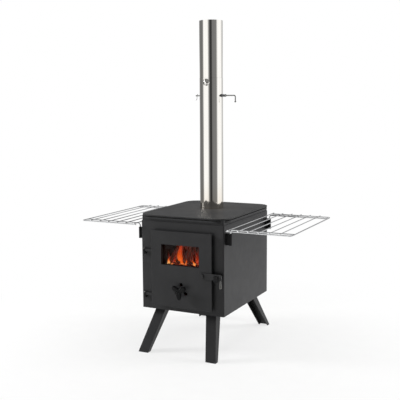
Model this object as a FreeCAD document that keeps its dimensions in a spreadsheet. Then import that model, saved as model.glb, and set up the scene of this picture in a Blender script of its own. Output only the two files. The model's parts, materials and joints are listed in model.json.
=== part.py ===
import FreeCAD, Part
import math
import os
import Sketcher
from types import SimpleNamespace

# Garden stove: a steel fire box on four splayed legs, with a hob, a flue with a damper, a glazed door
# with a drop latch and a rotary air control, and a lift-off wire rack on each side.
# Frame: X to the right, Y to the back, Z up, origin on the ground under the middle of the fire box.

SIZES = {
    # Fire box
    "body_width": 376,
    "body_depth": 472,
    "body_height": 370,
    "leg_height": 175,
    "sheet": 3,
    "bend_radius": 5,
    "front_return": 26,
    "seam_gap": 0.3,
    "cut_overrun": 5,
    # Hob and its rim
    "hob_side_overhang": 13,
    "hob_end_overhang": 10,
    "hob_thickness": 5,
    "hob_corner": 60,
    "hob_edge_round": 1.5,
    "rim_height": 21,
    "rim_inset": 2,
    "rim_band": 20,
    "rim_rib_rise": 10,
    "rim_rib_height": 7,
    "rim_rib_setback": 1,
    # Flue
    "flue_diameter": 100,
    "flue_wall": 1,
    "lower_flue_wall": 1.6,
    "flue_back": 50,
    "lower_flue_length": 559,
    "upper_flue_length": 240,
    "slip_gap": 0.2,
    "spigot_rise": 45,
    "spigot_wall": 2,
    "spigot_flange": 17,
    "spigot_flange_thickness": 3,
    "sleeve_wall": 1,
    "sleeve_below": 40,
    "sleeve_above": 40,
    # Lock screw of the sleeve
    "lock_drop": 18,
    "lock_head_diameter": 30,
    "lock_head_height": 9,
    "lock_head_skirt": 4,
    "lock_shank_diameter": 6,
    "lock_nut_across": 11,
    "lock_nut_thickness": 5,
    # Damper
    "damper_height": 485,
    "damper_gap": 2.5,
    "damper_thickness": 1.5,
    "damper_screw_diameter": 4,
    "damper_screw_head": 7,
    "damper_screw_head_height": 2.5,
    "damper_screw_spacing": 46,
    "spindle_diameter": 5,
    "spindle_fit": 0.08,
    "spindle_left": 23,
    "spindle_right": 62,
    "spindle_drop": 22,
    "spindle_bend": 7,
    "ball_diameter": 8,
    "washer_diameter": 15,
    "washer_thickness": 1.2,
    "collar_diameter": 11,
    "collar_width": 4,
    "spring_length": 13,
    "spring_diameter": 9.6,
    "spring_wire": 1.4,
    "spring_end_gap": 0.3,
    "clip_wire": 2,
    "clip_inset": 5,
    "clip_rise": 6,
    "clip_drop": 14,
    "clip_bend": 3,
    "clip_hook": 5,
    # Grate, baffle and ash pan
    "grate_height": 139,
    "grate_side_gap": 12,
    "grate_end_gap": 22,
    "grate_bar_width": 14,
    "grate_bar_height": 12,
    "grate_cross_inset": 45,
    "ledge_leg": 28,
    "baffle_height": 325,
    "baffle_thickness": 4,
    "baffle_throat": 165,
    "baffle_side_gap": 5,
    "baffle_ledge": 18,
    "pan_width": 200,
    "pan_length": 380,
    "pan_height": 50,
    "pan_sheet": 1.5,
    "pan_front_gap": 24,
    "pan_pull_width": 60,
    "pan_pull_reach": 14,
    # Door
    "door_width": 276,
    "door_offset": 5,
    "door_height": 316,
    "door_lift": 20,
    "door_depth": 16,
    "door_stand": 2,
    "door_round": 2,
    "door_flange_inset": 6,
    "door_landing": 20,
    "window_width": 172,
    "window_height": 85,
    "window_drop": 56,
    "window_offset": 5,
    "window_collar": 8,
    "glass_lap": 10,
    "glass_thickness": 4,
    "gasket_thickness": 2,
    "retainer_lap": 12,
    "retainer_thickness": 3,
    "retainer_screw_diameter": 5,
    "retainer_screw_head": 9,
    "retainer_screw_head_height": 3,
    "screw_gap": 0.25,
    "seal_diameter": 8,
    "seal_bend": 4.6,
    "seal_gap": 0.3,
    "seal_channel_sheet": 1.5,
    # Hinges
    "hinge_margin": 16,
    "hinge_stand": 9,
    "hinge_upper_drop": 94,
    "hinge_lower_rise": 37,
    "knuckle_diameter": 11,
    "knuckle_length": 11,
    "hinge_pin_diameter": 6,
    "hinge_fit": 0.06,
    "hinge_pin_head": 9,
    "hinge_pin_head_height": 2.5,
    "hinge_strap_thickness": 4,
    "knuckle_gap": 0.3,
    # Latch
    "latch_drop": 171,
    "latch_pivot_inset": 40,
    "latch_tail": 13,
    "latch_bar_height": 24,
    "latch_bar_thickness": 5,
    "latch_washer_thickness": 1.5,
    "latch_washer_diameter": 20,
    "latch_bolt_diameter": 8,
    "latch_bolt_head": 16,
    "latch_bolt_head_height": 5,
    "latch_nut_across": 15,
    "latch_nut_thickness": 6,
    "latch_fit": 0.08,
    "keeper_door_gap": 13,
    "keeper_width": 18,
    "keeper_plate": 4,
    "keeper_shelf": 5,
    "keeper_lip": 4.5,
    "keeper_lip_rise": 18,
    "keeper_back_rise": 28,
    "keeper_play": 0.8,
    "handle_gap": 3,
    "handle_top_diameter": 7,
    "handle_foot_diameter": 11,
    "handle_length": 28,
    "handle_tang_diameter": 3,
    "handle_bar_cover": 7,
    # Air control
    "air_rise": 75,
    "knob_hub_diameter": 26,
    "knob_arm_reach": 27,
    "knob_arm_diameter": 19,
    "knob_arm_width": 15,
    "knob_thickness": 15,
    "knob_stand": 14,
    "air_spindle_diameter": 8,
    "air_fit": 0.08,
    "air_spindle_grip": 10,
    "rotor_diameter": 72,
    "rotor_thickness": 2,
    "rotor_gap": 0.3,
    "air_hole_diameter": 15,
    "air_hole_reach": 24,
    "air_nut_across": 14,
    "air_nut_thickness": 5,
    # Racks and their sockets
    "rack_drop": 44,
    "rack_reach": 266,
    "rack_overhang": 42,
    "rack_rod_diameter": 6,
    "rack_edge_diameter": 5,
    "rack_wire_diameter": 4,
    "rack_wire_pitch": 43,
    "rack_wire_start": 5,
    "rack_edge_inset": 4,
    "rack_edge_start": 2,
    "rack_bend": 12,
    "rack_weld": 0.6,
    "socket_reach": 19,
    "socket_back": 22,
    "socket_tube_diameter": 12,
    "socket_web": 5,
    "socket_length": 47,
    "socket_fit": 0.08,
    "socket_clear": 3,
    # Legs
    "leg_width": 45,
    "leg_top_depth": 45,
    "leg_foot_depth": 22,
    "leg_top_across": 232,
    "leg_foot_across": 310,
    "leg_end_inset": 30,
    "leg_foot_along": 590,
    "leg_plate_width": 58,
    "leg_plate_depth": 56,
    "leg_bolt_diameter": 8,
    "leg_bolt_head": 15,
    "leg_bolt_head_height": 5.3,
    "leg_bolt_first": 17,
    "leg_bolt_spacing": 24,
    "leg_nut_thickness": 6.5,
    "leg_bolt_end": 2,
}

GRATE_BARS = 9
RACK_WIRES = 6
KNOB_ARMS = 3
SPRING_TURNS = 5
QUARTERS = 4
HEX = 6
ROUND_HEAD_SHARE = 0.5

# How far apart two places or two directions may be and still count as the same
SAME_PLACE = 1e-6
SAME_WAY = 1e-9


class Size:
    """A length together with the sheet formula that it comes from."""

    def __init__(self, value, text):
        self.value = value
        self.text = text

    @staticmethod
    def of(other):
        return other if isinstance(other, Size) else Size(other, repr(other))

    def join(self, other, sign, value):
        return Size(value, f"({self.text} {sign} {Size.of(other).text})")

    def __add__(self, other):
        return self.join(other, "+", self.value + Size.of(other).value)

    def __radd__(self, other):
        return Size.of(other) + self

    def __sub__(self, other):
        return self.join(other, "-", self.value - Size.of(other).value)

    def __rsub__(self, other):
        return Size.of(other) - self

    def __mul__(self, other):
        return self.join(other, "*", self.value * Size.of(other).value)

    def __rmul__(self, other):
        return Size.of(other) * self

    def __truediv__(self, other):
        return self.join(other, "/", self.value / Size.of(other).value)

    def __neg__(self):
        return Size(-self.value, f"(-1 * {self.text})")


# The document and its sheet of sizes
doc = FreeCAD.newDocument("GardenStove")
sheet = doc.addObject("Spreadsheet::Sheet", "Sizes")
for row, (name, number) in enumerate(SIZES.items(), start=1):
    sheet.set(f"A{row}", name)
    sheet.set(f"B{row}", str(number))
    sheet.setAlias(f"B{row}", name)
doc.recompute()
d = SimpleNamespace(**{name: Size(float(sheet.get(name)), f"Sizes.{name}") for name in SIZES})

TURN_TO = {
    "X": FreeCAD.Rotation(FreeCAD.Vector(0, 1, 0), 90),
    "Y": FreeCAD.Rotation(FreeCAD.Vector(1, 0, 0), -90),
    "Z": FreeCAD.Rotation(),
    "front": FreeCAD.Rotation(FreeCAD.Vector(1, 0, 0), 90),
}
pieces = []


def bind(item, prop, amount):
    """Ties one property of a document object to the sheet."""
    item.setExpression(prop, Size.of(amount).text)


def piece(label, item):
    """Names a finished sub-part, which then has a file of its own."""
    item.Label = label
    pieces.append(item)
    return item


def place(item, x, y, z, turn="Z"):
    """Puts an object's origin at a point, with its own Z along the named way."""
    item.Placement = FreeCAD.Placement(FreeCAD.Vector(0, 0, 0), TURN_TO[turn])
    for prop, amount in (("x", x), ("y", y), ("z", z)):
        bind(item, f"Placement.Base.{prop}", amount)
    return item


def block(x, y, z):
    """A box between two places on each axis."""
    item = doc.addObject("Part::Box", "Block")
    for prop, (low, high) in (("Length", x), ("Width", y), ("Height", z)):
        bind(item, prop, Size.of(high) - low)
    return place(item, x[0], y[0], z[0])


def rod(diameter, length, start, turn="Z"):
    """A round bar of one length from its start, along the named way."""
    item = doc.addObject("Part::Cylinder", "Rod")
    bind(item, "Radius", diameter / 2)
    bind(item, "Height", length)
    return place(item, *start, turn)


def hexagon(across, length, start, turn="Z"):
    """A six-sided bar, measured across its corners."""
    item = doc.addObject("Part::Prism", "Hexagon")
    item.Polygon = HEX
    bind(item, "Circumradius", across / 2)
    bind(item, "Height", length)
    return place(item, *start, turn)


def fuse(*items):
    """One solid from several that meet or overlap."""
    item = doc.addObject("Part::MultiFuse", "Fuse")
    item.Shapes = list(items)
    return item


def group(*items):
    """Separate solids kept together as one sub-part."""
    item = doc.addObject("Part::Compound", "Group")
    item.Links = list(items)
    return item


def cut(base, *tools):
    """A solid with others taken out of it."""
    item = doc.addObject("Part::Cut", "Cut")
    item.Base = base
    item.Tool = tools[0] if len(tools) == 1 else fuse(*tools)
    return item


def pipe(diameter, wall, length, start, turn="Z"):
    """A tube with its bore cut right through."""
    x, y, z = start
    back = {"X": (x - d.cut_overrun, y, z), "Y": (x, y - d.cut_overrun, z), "Z": (x, y, z - d.cut_overrun)}
    bore = rod(diameter - 2 * wall, length + 2 * d.cut_overrun, back[turn], turn)
    return cut(rod(diameter, length, start, turn), bore)


def sketch_on(body, plane, lift):
    """A sketch on one of a body's own planes, lifted along that plane's normal."""
    sketch = body.newObject("Sketcher::SketchObject", "Sketch")
    support = [feature for feature in body.Origin.OriginFeatures if feature.Role == plane][0]
    sketch.AttachmentSupport = [(support, "")]
    sketch.MapMode = "FlatFace"
    bind(sketch, "AttachmentOffset.Base.z", lift)
    return sketch


def draw_outline(sketch, points):
    """A closed outline whose corners are held from the sketch's origin by sizes of the sheet."""
    count = len(points)
    first = sketch.GeometryCount
    corners = [FreeCAD.Vector(Size.of(x).value, Size.of(y).value, 0) for x, y in points]
    for number in range(count):
        sketch.addGeometry(Part.LineSegment(corners[number], corners[(number + 1) % count]))
    for number in range(count):
        after = first + (number + 1) % count
        sketch.addConstraint(Sketcher.Constraint("Coincident", first + number, 2, after, 1))
    for number, (x, y) in enumerate(points):
        for kind, amount in (("DistanceX", Size.of(x)), ("DistanceY", Size.of(y))):
            held = Sketcher.Constraint(kind, -1, 1, first + number, 1, amount.value)
            index = sketch.addConstraint(held)
            sketch.setExpression(f"Constraints[{index}]", amount.text)


def rectangle(x, y):
    """The four corners between two places on each axis."""
    return [(x[0], y[0]), (x[1], y[0]), (x[1], y[1]), (x[0], y[1])]


def pad(body, plane, lift, length, *outlines):
    """Solid material of one height on closed outlines; an outline inside another is a hole."""
    sketch = sketch_on(body, plane, lift)
    for points in outlines:
        draw_outline(sketch, points)
    feature = body.newObject("PartDesign::Pad", "Pad")
    feature.Profile = sketch
    bind(feature, "Length", length)
    doc.recompute()
    return feature


def new_body():
    return doc.addObject("PartDesign::Body", "Body")


def is_along(edge, way):
    """Whether a straight edge runs along an axis."""
    if not isinstance(edge.Curve, Part.Line):
        return False
    return abs(abs(edge.Curve.Direction.dot(way)) - 1) < SAME_WAY


def round_edges(body, feature, radius, chosen):
    """A fillet on the edges that a test picks by their middle point."""
    names = []
    for number, edge in enumerate(feature.Shape.Edges, start=1):
        middle = edge.valueAt((edge.FirstParameter + edge.LastParameter) / 2)
        if chosen(edge, middle):
            names.append(f"Edge{number}")
    fillet = body.newObject("PartDesign::Fillet", "Fillet")
    fillet.Base = (feature, names)
    bind(fillet, "Radius", radius)
    doc.recompute()
    return fillet


UP = FreeCAD.Vector(0, 0, 1)


def rounded_path(points, bend):
    """Straight runs joined by tangent arcs of one radius, as a wire."""
    edges = []
    start = points[0]
    for before, corner, after in zip(points, points[1:], points[2:]):
        into = (corner - before).normalize()
        out = (after - corner).normalize()
        half_turn = into.getAngle(out) / 2
        reach = bend * math.tan(half_turn)
        middle_gap = bend / math.cos(half_turn) - bend
        arc_start = corner - into * reach
        arc_end = corner + out * reach
        arc_middle = corner + (out - into).normalize() * middle_gap
        edges.append(Part.LineSegment(start, arc_start).toShape())
        edges.append(Part.Arc(arc_start, arc_middle, arc_end).toShape())
        start = arc_end
    edges.append(Part.LineSegment(start, points[-1]).toShape())
    return Part.Wire(edges)


def swept(path, diameter):
    """A round wire of one diameter along a path."""
    first = path.OrderedEdges[0]
    start = first.valueAt(first.FirstParameter)
    way = first.tangentAt(first.FirstParameter)
    ring = Part.Wire([Part.Circle(start, way, diameter / 2).toShape()])
    return Part.Solid(path.makePipeShell([ring], True, False))


def bent_wire(points, bend, diameter):
    """A sub-part of bent round wire; the points are given in sizes of the sheet."""
    places = [FreeCAD.Vector(*(Size.of(amount).value for amount in point)) for point in points]
    item = doc.addObject("Part::Feature", "BentWire")
    item.Shape = swept(rounded_path(places, bend.value), diameter.value)
    return item


# Main places that several sub-parts share
right = d.body_width / 2
front = -d.body_depth / 2
back = d.body_depth / 2
floor_top = d.leg_height + d.sheet
box_top = d.leg_height + d.body_height
hob_bottom = box_top + d.rim_height
hob_top = hob_bottom + d.hob_thickness
door_middle = d.door_offset
door_left = door_middle - d.door_width / 2
door_right = door_middle + d.door_width / 2
door_bottom = d.leg_height + d.door_lift
door_top = door_bottom + d.door_height
door_back = front - d.door_stand
door_face = door_back - d.door_depth
skin_back = door_face + d.sheet
flange_x = (door_left + d.door_flange_inset, door_right - d.door_flange_inset)
flange_z = (door_bottom + d.door_flange_inset, door_top - d.door_flange_inset)
opening_x = (door_left + d.door_landing, door_right - d.door_landing)
opening_z = (door_bottom + d.door_landing, door_top - d.door_landing)
inner_x = right - d.sheet - d.seam_gap
damper_z = hob_top + d.damper_height
flue_y = d.flue_back
leg_top_y = back - d.leg_end_inset


def is_bend(edge, middle):
    """Upright edges at the bent corners of the fire box."""
    return is_along(edge, UP)


def upright_at(y):
    """Picks the upright edges that stand at one place along Y."""
    return lambda edge, middle: is_along(edge, UP) and abs(middle.y - y.value) < SAME_PLACE


def upright_out_at(x):
    """Picks the upright edges that stand at one place to either side."""
    return lambda edge, middle: is_along(edge, UP) and abs(abs(middle.x) - x.value) < SAME_PLACE


# Fire box: side and back sheet in one bend, front panel with returns, base plate
def make_wrap():
    seam = front + d.front_return + d.seam_gap
    outline = [
        (-right, seam), (-right, back), (right, back), (right, seam),
        (right - d.sheet, seam), (right - d.sheet, back - d.sheet),
        (d.sheet - right, back - d.sheet), (d.sheet - right, seam),
    ]
    body = new_body()
    walls = pad(body, "XY_Plane", d.leg_height, d.body_height, outline)
    outer = round_edges(body, walls, d.bend_radius, upright_at(back))
    round_edges(body, outer, d.bend_radius - d.sheet, upright_at(back - d.sheet))
    return piece("side_wrap", body)


def make_front():
    seam = front + d.front_return
    outline = [
        (-right, front), (right, front), (right, seam), (right - d.sheet, seam),
        (right - d.sheet, front + d.sheet), (d.sheet - right, front + d.sheet),
        (d.sheet - right, seam), (-right, seam),
    ]
    body = new_body()
    walls = pad(body, "XY_Plane", d.leg_height, d.body_height, outline)
    outer = round_edges(body, walls, d.bend_radius, upright_at(front))
    round_edges(body, outer, d.bend_radius - d.sheet, upright_at(front + d.sheet))
    through = (front - d.cut_overrun, front + d.sheet + d.cut_overrun)
    doorway = block(opening_x, through, opening_z)
    return piece("front_panel", cut(body, doorway))


def leg_bolt_places():
    """The eight bolt places, two on each leg plate."""
    first = leg_top_y - d.leg_bolt_first
    return [
        (side * d.leg_top_across / 2, end * (first - step * d.leg_bolt_spacing))
        for side in (-1, 1) for end in (-1, 1) for step in (0, 1)
    ]


def leg_bolt_holes(low, high):
    hole = d.leg_bolt_diameter + 2 * d.screw_gap
    return [
        rod(hole, high - low + 2 * d.cut_overrun, (x, y, low - d.cut_overrun))
        for x, y in leg_bolt_places()
    ]


def make_base():
    inner_y = back - d.sheet - d.seam_gap
    body = new_body()
    plate = pad(body, "XY_Plane", d.leg_height, d.sheet, rectangle((-inner_x, inner_x), (-inner_y, inner_y)))
    round_edges(body, plate, d.bend_radius - d.sheet, is_bend)
    return piece("base_plate", cut(body, *leg_bolt_holes(d.leg_height, floor_top)))


# Hob, rim and flue spigot
hob_x = right + d.hob_side_overhang
hob_y = back + d.hob_end_overhang


def make_hob():
    body = new_body()
    plate = pad(body, "XY_Plane", hob_bottom, d.hob_thickness, rectangle((-hob_x, hob_x), (-hob_y, hob_y)))
    corners = round_edges(body, plate, d.hob_corner, is_bend)
    round_edges(body, corners, d.hob_edge_round, lambda e, m: abs(m.z - hob_top.value) < SAME_PLACE)
    hole = rod(spigot_diameter + 2 * d.slip_gap, d.hob_thickness + 2 * d.cut_overrun,
               (0, flue_y, hob_bottom - d.cut_overrun))
    return piece("hob_plate", cut(body, hole))


def make_rim():
    """A frame that stands on the walls, with a rib round it a little way under the hob."""
    core_x = right - d.rim_inset
    core_y = back - d.rim_inset
    rib_x = hob_x - d.rim_rib_setback
    rib_y = hob_y - d.rim_rib_setback
    hole = rectangle((d.rim_band - core_x, core_x - d.rim_band), (d.rim_band - core_y, core_y - d.rim_band))
    frames = []
    for half_x, half_y, corner, low, height in (
        (core_x, core_y, d.bend_radius, box_top, d.rim_height),
        (rib_x, rib_y, d.hob_corner - d.rim_rib_setback, box_top + d.rim_rib_rise, d.rim_rib_height),
    ):
        body = new_body()
        frame = pad(body, "XY_Plane", low, height, rectangle((-half_x, half_x), (-half_y, half_y)), hole)
        round_edges(body, frame, corner, upright_out_at(half_x))
        frames.append(body)
    return piece("hob_rim", fuse(*frames))


flue_bore = d.flue_diameter - 2 * d.flue_wall
lower_flue_diameter = flue_bore + 2 * d.lower_flue_wall
spigot_diameter = flue_bore - 2 * d.slip_gap


def make_spigot():
    foot = hob_bottom - d.spigot_flange_thickness
    length = d.spigot_flange_thickness + d.hob_thickness + d.spigot_rise
    tube = rod(spigot_diameter, length, (0, flue_y, foot))
    flange = rod(spigot_diameter + 2 * d.spigot_flange, d.spigot_flange_thickness, (0, flue_y, foot))
    bore = rod(spigot_diameter - 2 * d.spigot_wall, length + 2 * d.cut_overrun,
               (0, flue_y, foot - d.cut_overrun))
    return piece("flue_spigot", cut(fuse(tube, flange), bore))


# Flue: two lengths joined by an inner sleeve, which a round-headed screw locks
flue_joint = hob_top + d.lower_flue_length
flue_right = lower_flue_diameter / 2
flue_front = flue_y - flue_right
lock_z = flue_joint - d.lock_drop


def lock_hole():
    hole = d.lock_shank_diameter + 2 * d.screw_gap
    return rod(hole, flue_right + d.cut_overrun, (0, flue_front - d.cut_overrun, lock_z), "Y")


def make_flue():
    lower = pipe(lower_flue_diameter, d.lower_flue_wall, d.lower_flue_length, (0, flue_y, hob_top))
    spindle_hole = rod(d.spindle_diameter + 2 * d.spindle_fit, lower_flue_diameter + 2 * d.cut_overrun,
                       (-flue_right - d.cut_overrun, flue_y, damper_z), "X")
    piece("lower_flue", cut(lower, spindle_hole, lock_hole()))
    upper = pipe(d.flue_diameter, d.flue_wall, d.upper_flue_length, (0, flue_y, flue_joint + d.seam_gap))
    piece("upper_flue", upper)
    sleeve = pipe(flue_bore - 2 * d.slip_gap, d.sleeve_wall, d.sleeve_below + d.sleeve_above,
                  (0, flue_y, flue_joint - d.sleeve_below))
    piece("flue_sleeve", cut(sleeve, lock_hole()))


def make_lock_screw():
    head = d.lock_head_diameter / 2
    tall = d.lock_head_height
    dome_radius = (head * head + tall * tall) / (2 * tall)
    dome = doc.addObject("Part::Sphere", "Dome")
    bind(dome, "Radius", dome_radius)
    rise = (dome_radius - tall) / dome_radius
    dome.setExpression("Angle1", f"asin({rise.text})")
    place(dome, 0, flue_front + dome_radius - tall, lock_z, "front")
    skirt = rod(d.lock_head_diameter, d.lock_head_skirt, (0, flue_front, lock_z), "Y")
    flue_space = rod(lower_flue_diameter + 2 * d.seam_gap, d.lock_head_diameter + 2 * d.cut_overrun,
                     (0, flue_y, lock_z - d.lock_head_diameter / 2 - d.cut_overrun))
    saddle = cut(fuse(dome, skirt), flue_space)
    nut_face = flue_front + d.lower_flue_wall + d.slip_gap + d.sleeve_wall + d.seam_gap
    shank_back = nut_face + d.lock_nut_thickness + d.lock_nut_thickness * ROUND_HEAD_SHARE
    shank = rod(d.lock_shank_diameter, shank_back - flue_front + tall * ROUND_HEAD_SHARE,
                (0, flue_front - tall * ROUND_HEAD_SHARE, lock_z), "Y")
    piece("flue_lock_screw", fuse(saddle, shank))
    blank = hexagon(d.lock_nut_across, d.lock_nut_thickness, (0, nut_face, lock_z), "Y")
    thread = rod(d.lock_shank_diameter + 2 * d.screw_gap, d.lock_nut_thickness + 2 * d.cut_overrun,
                 (0, nut_face - d.cut_overrun, lock_z), "Y")
    piece("flue_lock_nut", cut(blank, thread))


# Damper: a disc screwed to a spindle across the flue, held by a clip and a spring against a collar
washer_x = flue_right + d.seam_gap
spring_x = washer_x + d.washer_thickness + d.spring_end_gap
collar_x = spring_x + d.spring_length + d.spring_end_gap
clip_x = -flue_right - d.spindle_left + d.clip_inset


def damper_screw_places():
    return [side * d.damper_screw_spacing / 2 for side in (-1, 1)]


def make_damper():
    left_end = -flue_right - d.spindle_left
    elbow = flue_right + d.spindle_right
    bar = bent_wire([(left_end, flue_y, damper_z), (elbow, flue_y, damper_z),
                     (elbow, flue_y, damper_z - d.spindle_drop)], d.spindle_bend, d.spindle_diameter)
    collar = rod(d.collar_diameter, d.collar_width, (collar_x, flue_y, damper_z), "X")
    clip_hole = rod(d.clip_wire + 2 * d.spindle_fit, d.spindle_diameter + 2 * d.cut_overrun,
                    (clip_x, flue_y, damper_z - d.spindle_diameter / 2 - d.cut_overrun))
    screw_holes = [
        rod(d.damper_screw_diameter + 2 * d.spindle_fit, d.spindle_diameter + 2 * d.cut_overrun,
            (x, flue_y - d.spindle_diameter / 2 - d.cut_overrun, damper_z), "Y")
        for x in damper_screw_places()
    ]
    seat = block((-flue_right + d.damper_gap, flue_right - d.damper_gap),
                 (flue_y + d.spindle_diameter / QUARTERS, flue_y + d.spindle_diameter),
                 (damper_z - d.spindle_diameter, damper_z + d.spindle_diameter))
    piece("damper_spindle", cut(fuse(bar, collar), clip_hole, seat, *screw_holes))

    plate_y = flue_y + d.spindle_diameter / QUARTERS
    plate = rod(flue_bore - 2 * d.damper_gap, d.damper_thickness, (0, plate_y, damper_z), "Y")
    plate_holes = [
        rod(d.damper_screw_diameter + 2 * d.spindle_fit, d.damper_thickness + 2 * d.cut_overrun,
            (x, plate_y - d.cut_overrun, damper_z), "Y")
        for x in damper_screw_places()
    ]
    piece("damper_plate", cut(plate, *plate_holes))
    head_y = plate_y + d.damper_thickness
    screws = []
    for x in damper_screw_places():
        head = rod(d.damper_screw_head, d.damper_screw_head_height, (x, head_y, damper_z), "Y")
        shank_front = flue_y - d.spindle_diameter / 2
        shank = rod(d.damper_screw_diameter, head_y - shank_front, (x, shank_front, damper_z), "Y")
        screws.append(fuse(head, shank))
    piece("damper_screws", group(*screws))

    ball_z = damper_z - d.spindle_drop - d.ball_diameter / 2
    ball = doc.addObject("Part::Sphere", "Ball")
    bind(ball, "Radius", d.ball_diameter / 2)
    place(ball, elbow, flue_y, ball_z)
    rod_space = rod(d.spindle_diameter + 2 * d.spindle_fit, d.ball_diameter,
                    (elbow, flue_y, damper_z - d.spindle_drop))
    piece("damper_ball", cut(ball, rod_space))

    washer_bore = rod(d.spindle_diameter + 2 * d.spindle_fit, d.washer_thickness + 2 * d.cut_overrun,
                      (washer_x - d.cut_overrun, flue_y, damper_z), "X")
    washer = rod(d.washer_diameter, d.washer_thickness, (washer_x, flue_y, damper_z), "X")
    piece("damper_washer", cut(washer, washer_bore))

    clip = bent_wire([
        (clip_x + d.clip_hook, flue_y, damper_z + d.clip_rise),
        (clip_x, flue_y, damper_z + d.clip_rise),
        (clip_x, flue_y, damper_z - d.clip_drop),
        (clip_x - d.clip_hook, flue_y, damper_z - d.clip_drop - d.clip_hook),
    ], d.clip_bend, d.clip_wire)
    piece("damper_clip", clip)


def biarc(start, start_way, end, end_way):
    """Two tangent arcs between two points with given directions, with equal tangent lengths."""
    span = end - start
    sum_way = start_way + end_way
    share = 2 * (1 - start_way.dot(end_way))
    along = span.dot(sum_way)
    reach = (math.sqrt(along * along + share * span.dot(span)) - along) / share
    first_tip = start + start_way * reach
    second_tip = end - end_way * reach
    middle = (first_tip + second_tip) * 0.5
    arcs = []
    for begin, tip, finish in ((start, first_tip, middle), (middle, second_tip, end)):
        chord_middle = (begin + finish) * 0.5
        half_chord = (finish - begin).Length / 2
        half_turn = (tip - begin).getAngle(finish - begin)
        crown = chord_middle + (tip - chord_middle).normalize() * half_chord * math.tan(half_turn / 2)
        arcs.append(Part.Arc(begin, crown, finish).toShape())
    return arcs


def make_spring():
    """One unbroken helix about the spindle, on biarcs of a quarter turn."""
    wire = d.spring_wire.value
    radius = (d.spring_diameter / 2).value
    rise = (d.spring_length - d.spring_wire).value / SPRING_TURNS
    origin = FreeCAD.Vector((spring_x + d.spring_wire / 2).value, flue_y.value, damper_z.value)

    def helix(turns):
        angle = 2 * math.pi * turns
        return origin + FreeCAD.Vector(rise * turns, radius * math.cos(angle), radius * math.sin(angle))

    def way(turns):
        angle = 2 * math.pi * turns
        around = 2 * math.pi * radius
        return FreeCAD.Vector(rise, -around * math.sin(angle), around * math.cos(angle)).normalize()

    edges = []
    for quarter in range(SPRING_TURNS * QUARTERS):
        begin = quarter / QUARTERS
        finish = (quarter + 1) / QUARTERS
        edges.extend(biarc(helix(begin), way(begin), helix(finish), way(finish)))
    samples = [helix(number / (QUARTERS * HEX)) for number in range(SPRING_TURNS * QUARTERS * HEX + 1)]
    half_turn = QUARTERS * HEX // 2
    least = min(
        (late - early).Length - wire
        for number, early in enumerate(samples) for late in samples[number + half_turn:]
    )
    print(f"damper spring: {SPRING_TURNS} turns, least gap to itself {least:.2f} mm")
    item = doc.addObject("Part::Feature", "Spring")
    item.Shape = swept(Part.Wire(edges), wire)
    piece("damper_spring", item)


# Inside of the fire box: grate, baffle and ash pan
def make_grate():
    low = d.leg_height + d.grate_height
    half_x = inner_x - d.grate_side_gap
    half_y = back - d.sheet - d.grate_end_gap
    first = d.grate_bar_width / 2 - half_x
    pitch = (2 * half_x - d.grate_bar_width) / (GRATE_BARS - 1)
    z = (low, low + d.grate_bar_height)
    half = d.grate_bar_width / 2
    bars = []
    for number in range(GRATE_BARS):
        middle = first + pitch * number
        bars.append(block((middle - half, middle + half), (-half_y, half_y), z))
    for side in (-1, 1):
        middle = side * (half_y - d.grate_cross_inset)
        bars.append(block((-half_x, half_x), (middle - half, middle + half), z))
    piece("fire_grate", fuse(*bars))
    ledges = []
    for side in (-1, 1):
        wall = side * inner_x
        edge = side * (inner_x - d.ledge_leg)
        web = side * (inner_x - d.sheet)
        flat = block((min(wall, edge, key=by_value), max(wall, edge, key=by_value)), (-half_y, half_y),
                     (low - d.sheet, low))
        upright = block((min(wall, web, key=by_value), max(wall, web, key=by_value)), (-half_y, half_y),
                        (low - d.ledge_leg, low))
        ledges.append(fuse(flat, upright))
    piece("grate_ledges", group(*ledges))


def by_value(amount):
    return amount.value


def make_baffle():
    low = d.leg_height + d.baffle_height
    half_x = inner_x - d.baffle_side_gap
    rear = back - d.sheet - d.seam_gap
    start = front + d.baffle_throat
    corner = rear - d.bend_radius
    plate = block((-half_x, half_x), (start, corner), (low, low + d.baffle_thickness))
    piece("baffle_plate", plate)
    ledges = []
    for side in (-1, 1):
        wall = side * inner_x
        edge = side * (inner_x - d.baffle_ledge)
        ledges.append(block((min(wall, edge, key=by_value), max(wall, edge, key=by_value)), (start, corner),
                            (low - d.sheet, low)))
    piece("baffle_ledges", group(*ledges))


def make_ash_pan():
    half_x = d.pan_width / 2
    near = front + d.pan_front_gap
    far = near + d.pan_length
    top = floor_top + d.pan_height
    outside = block((-half_x, half_x), (near, far), (floor_top, top))
    inside = block((d.pan_sheet - half_x, half_x - d.pan_sheet), (near + d.pan_sheet, far - d.pan_sheet),
                   (floor_top + d.pan_sheet, top + d.cut_overrun))
    half_pull = d.pan_pull_width / 2
    pull_y = (near - d.pan_pull_reach, near + d.pan_sheet)
    pull = block((-half_pull, half_pull), pull_y, (top - d.pan_sheet, top))
    piece("ash_pan", fuse(cut(outside, inside), pull))


# Door: a plate with a set-in flange and a window collar, glass between gasket and retainer,
# and a rope seal in its channel
window_middle = door_middle - d.window_offset
window_x = (window_middle - d.window_width / 2, window_middle + d.window_width / 2)
window_z = (door_top - d.window_drop - d.window_height, door_top - d.window_drop)
air_z = door_bottom + d.air_rise
collar_back = skin_back + d.window_collar
glass_front = collar_back + d.gasket_thickness
glass_back = glass_front + d.glass_thickness
retainer_back = glass_back + d.retainer_thickness
latch_x = door_right - d.latch_pivot_inset
latch_z = door_top - d.latch_drop


def widened(span, lap):
    return (span[0] - lap, span[1] + lap)


def air_hole_places():
    """Three places round the spindle, between the arms of the knob."""
    places = []
    for arm in range(KNOB_ARMS):
        angle = math.radians(90 + 360 / KNOB_ARMS * arm)
        places.append((door_middle + d.air_hole_reach * math.cos(angle),
                       air_z + d.air_hole_reach * math.sin(angle)))
    return places


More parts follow.
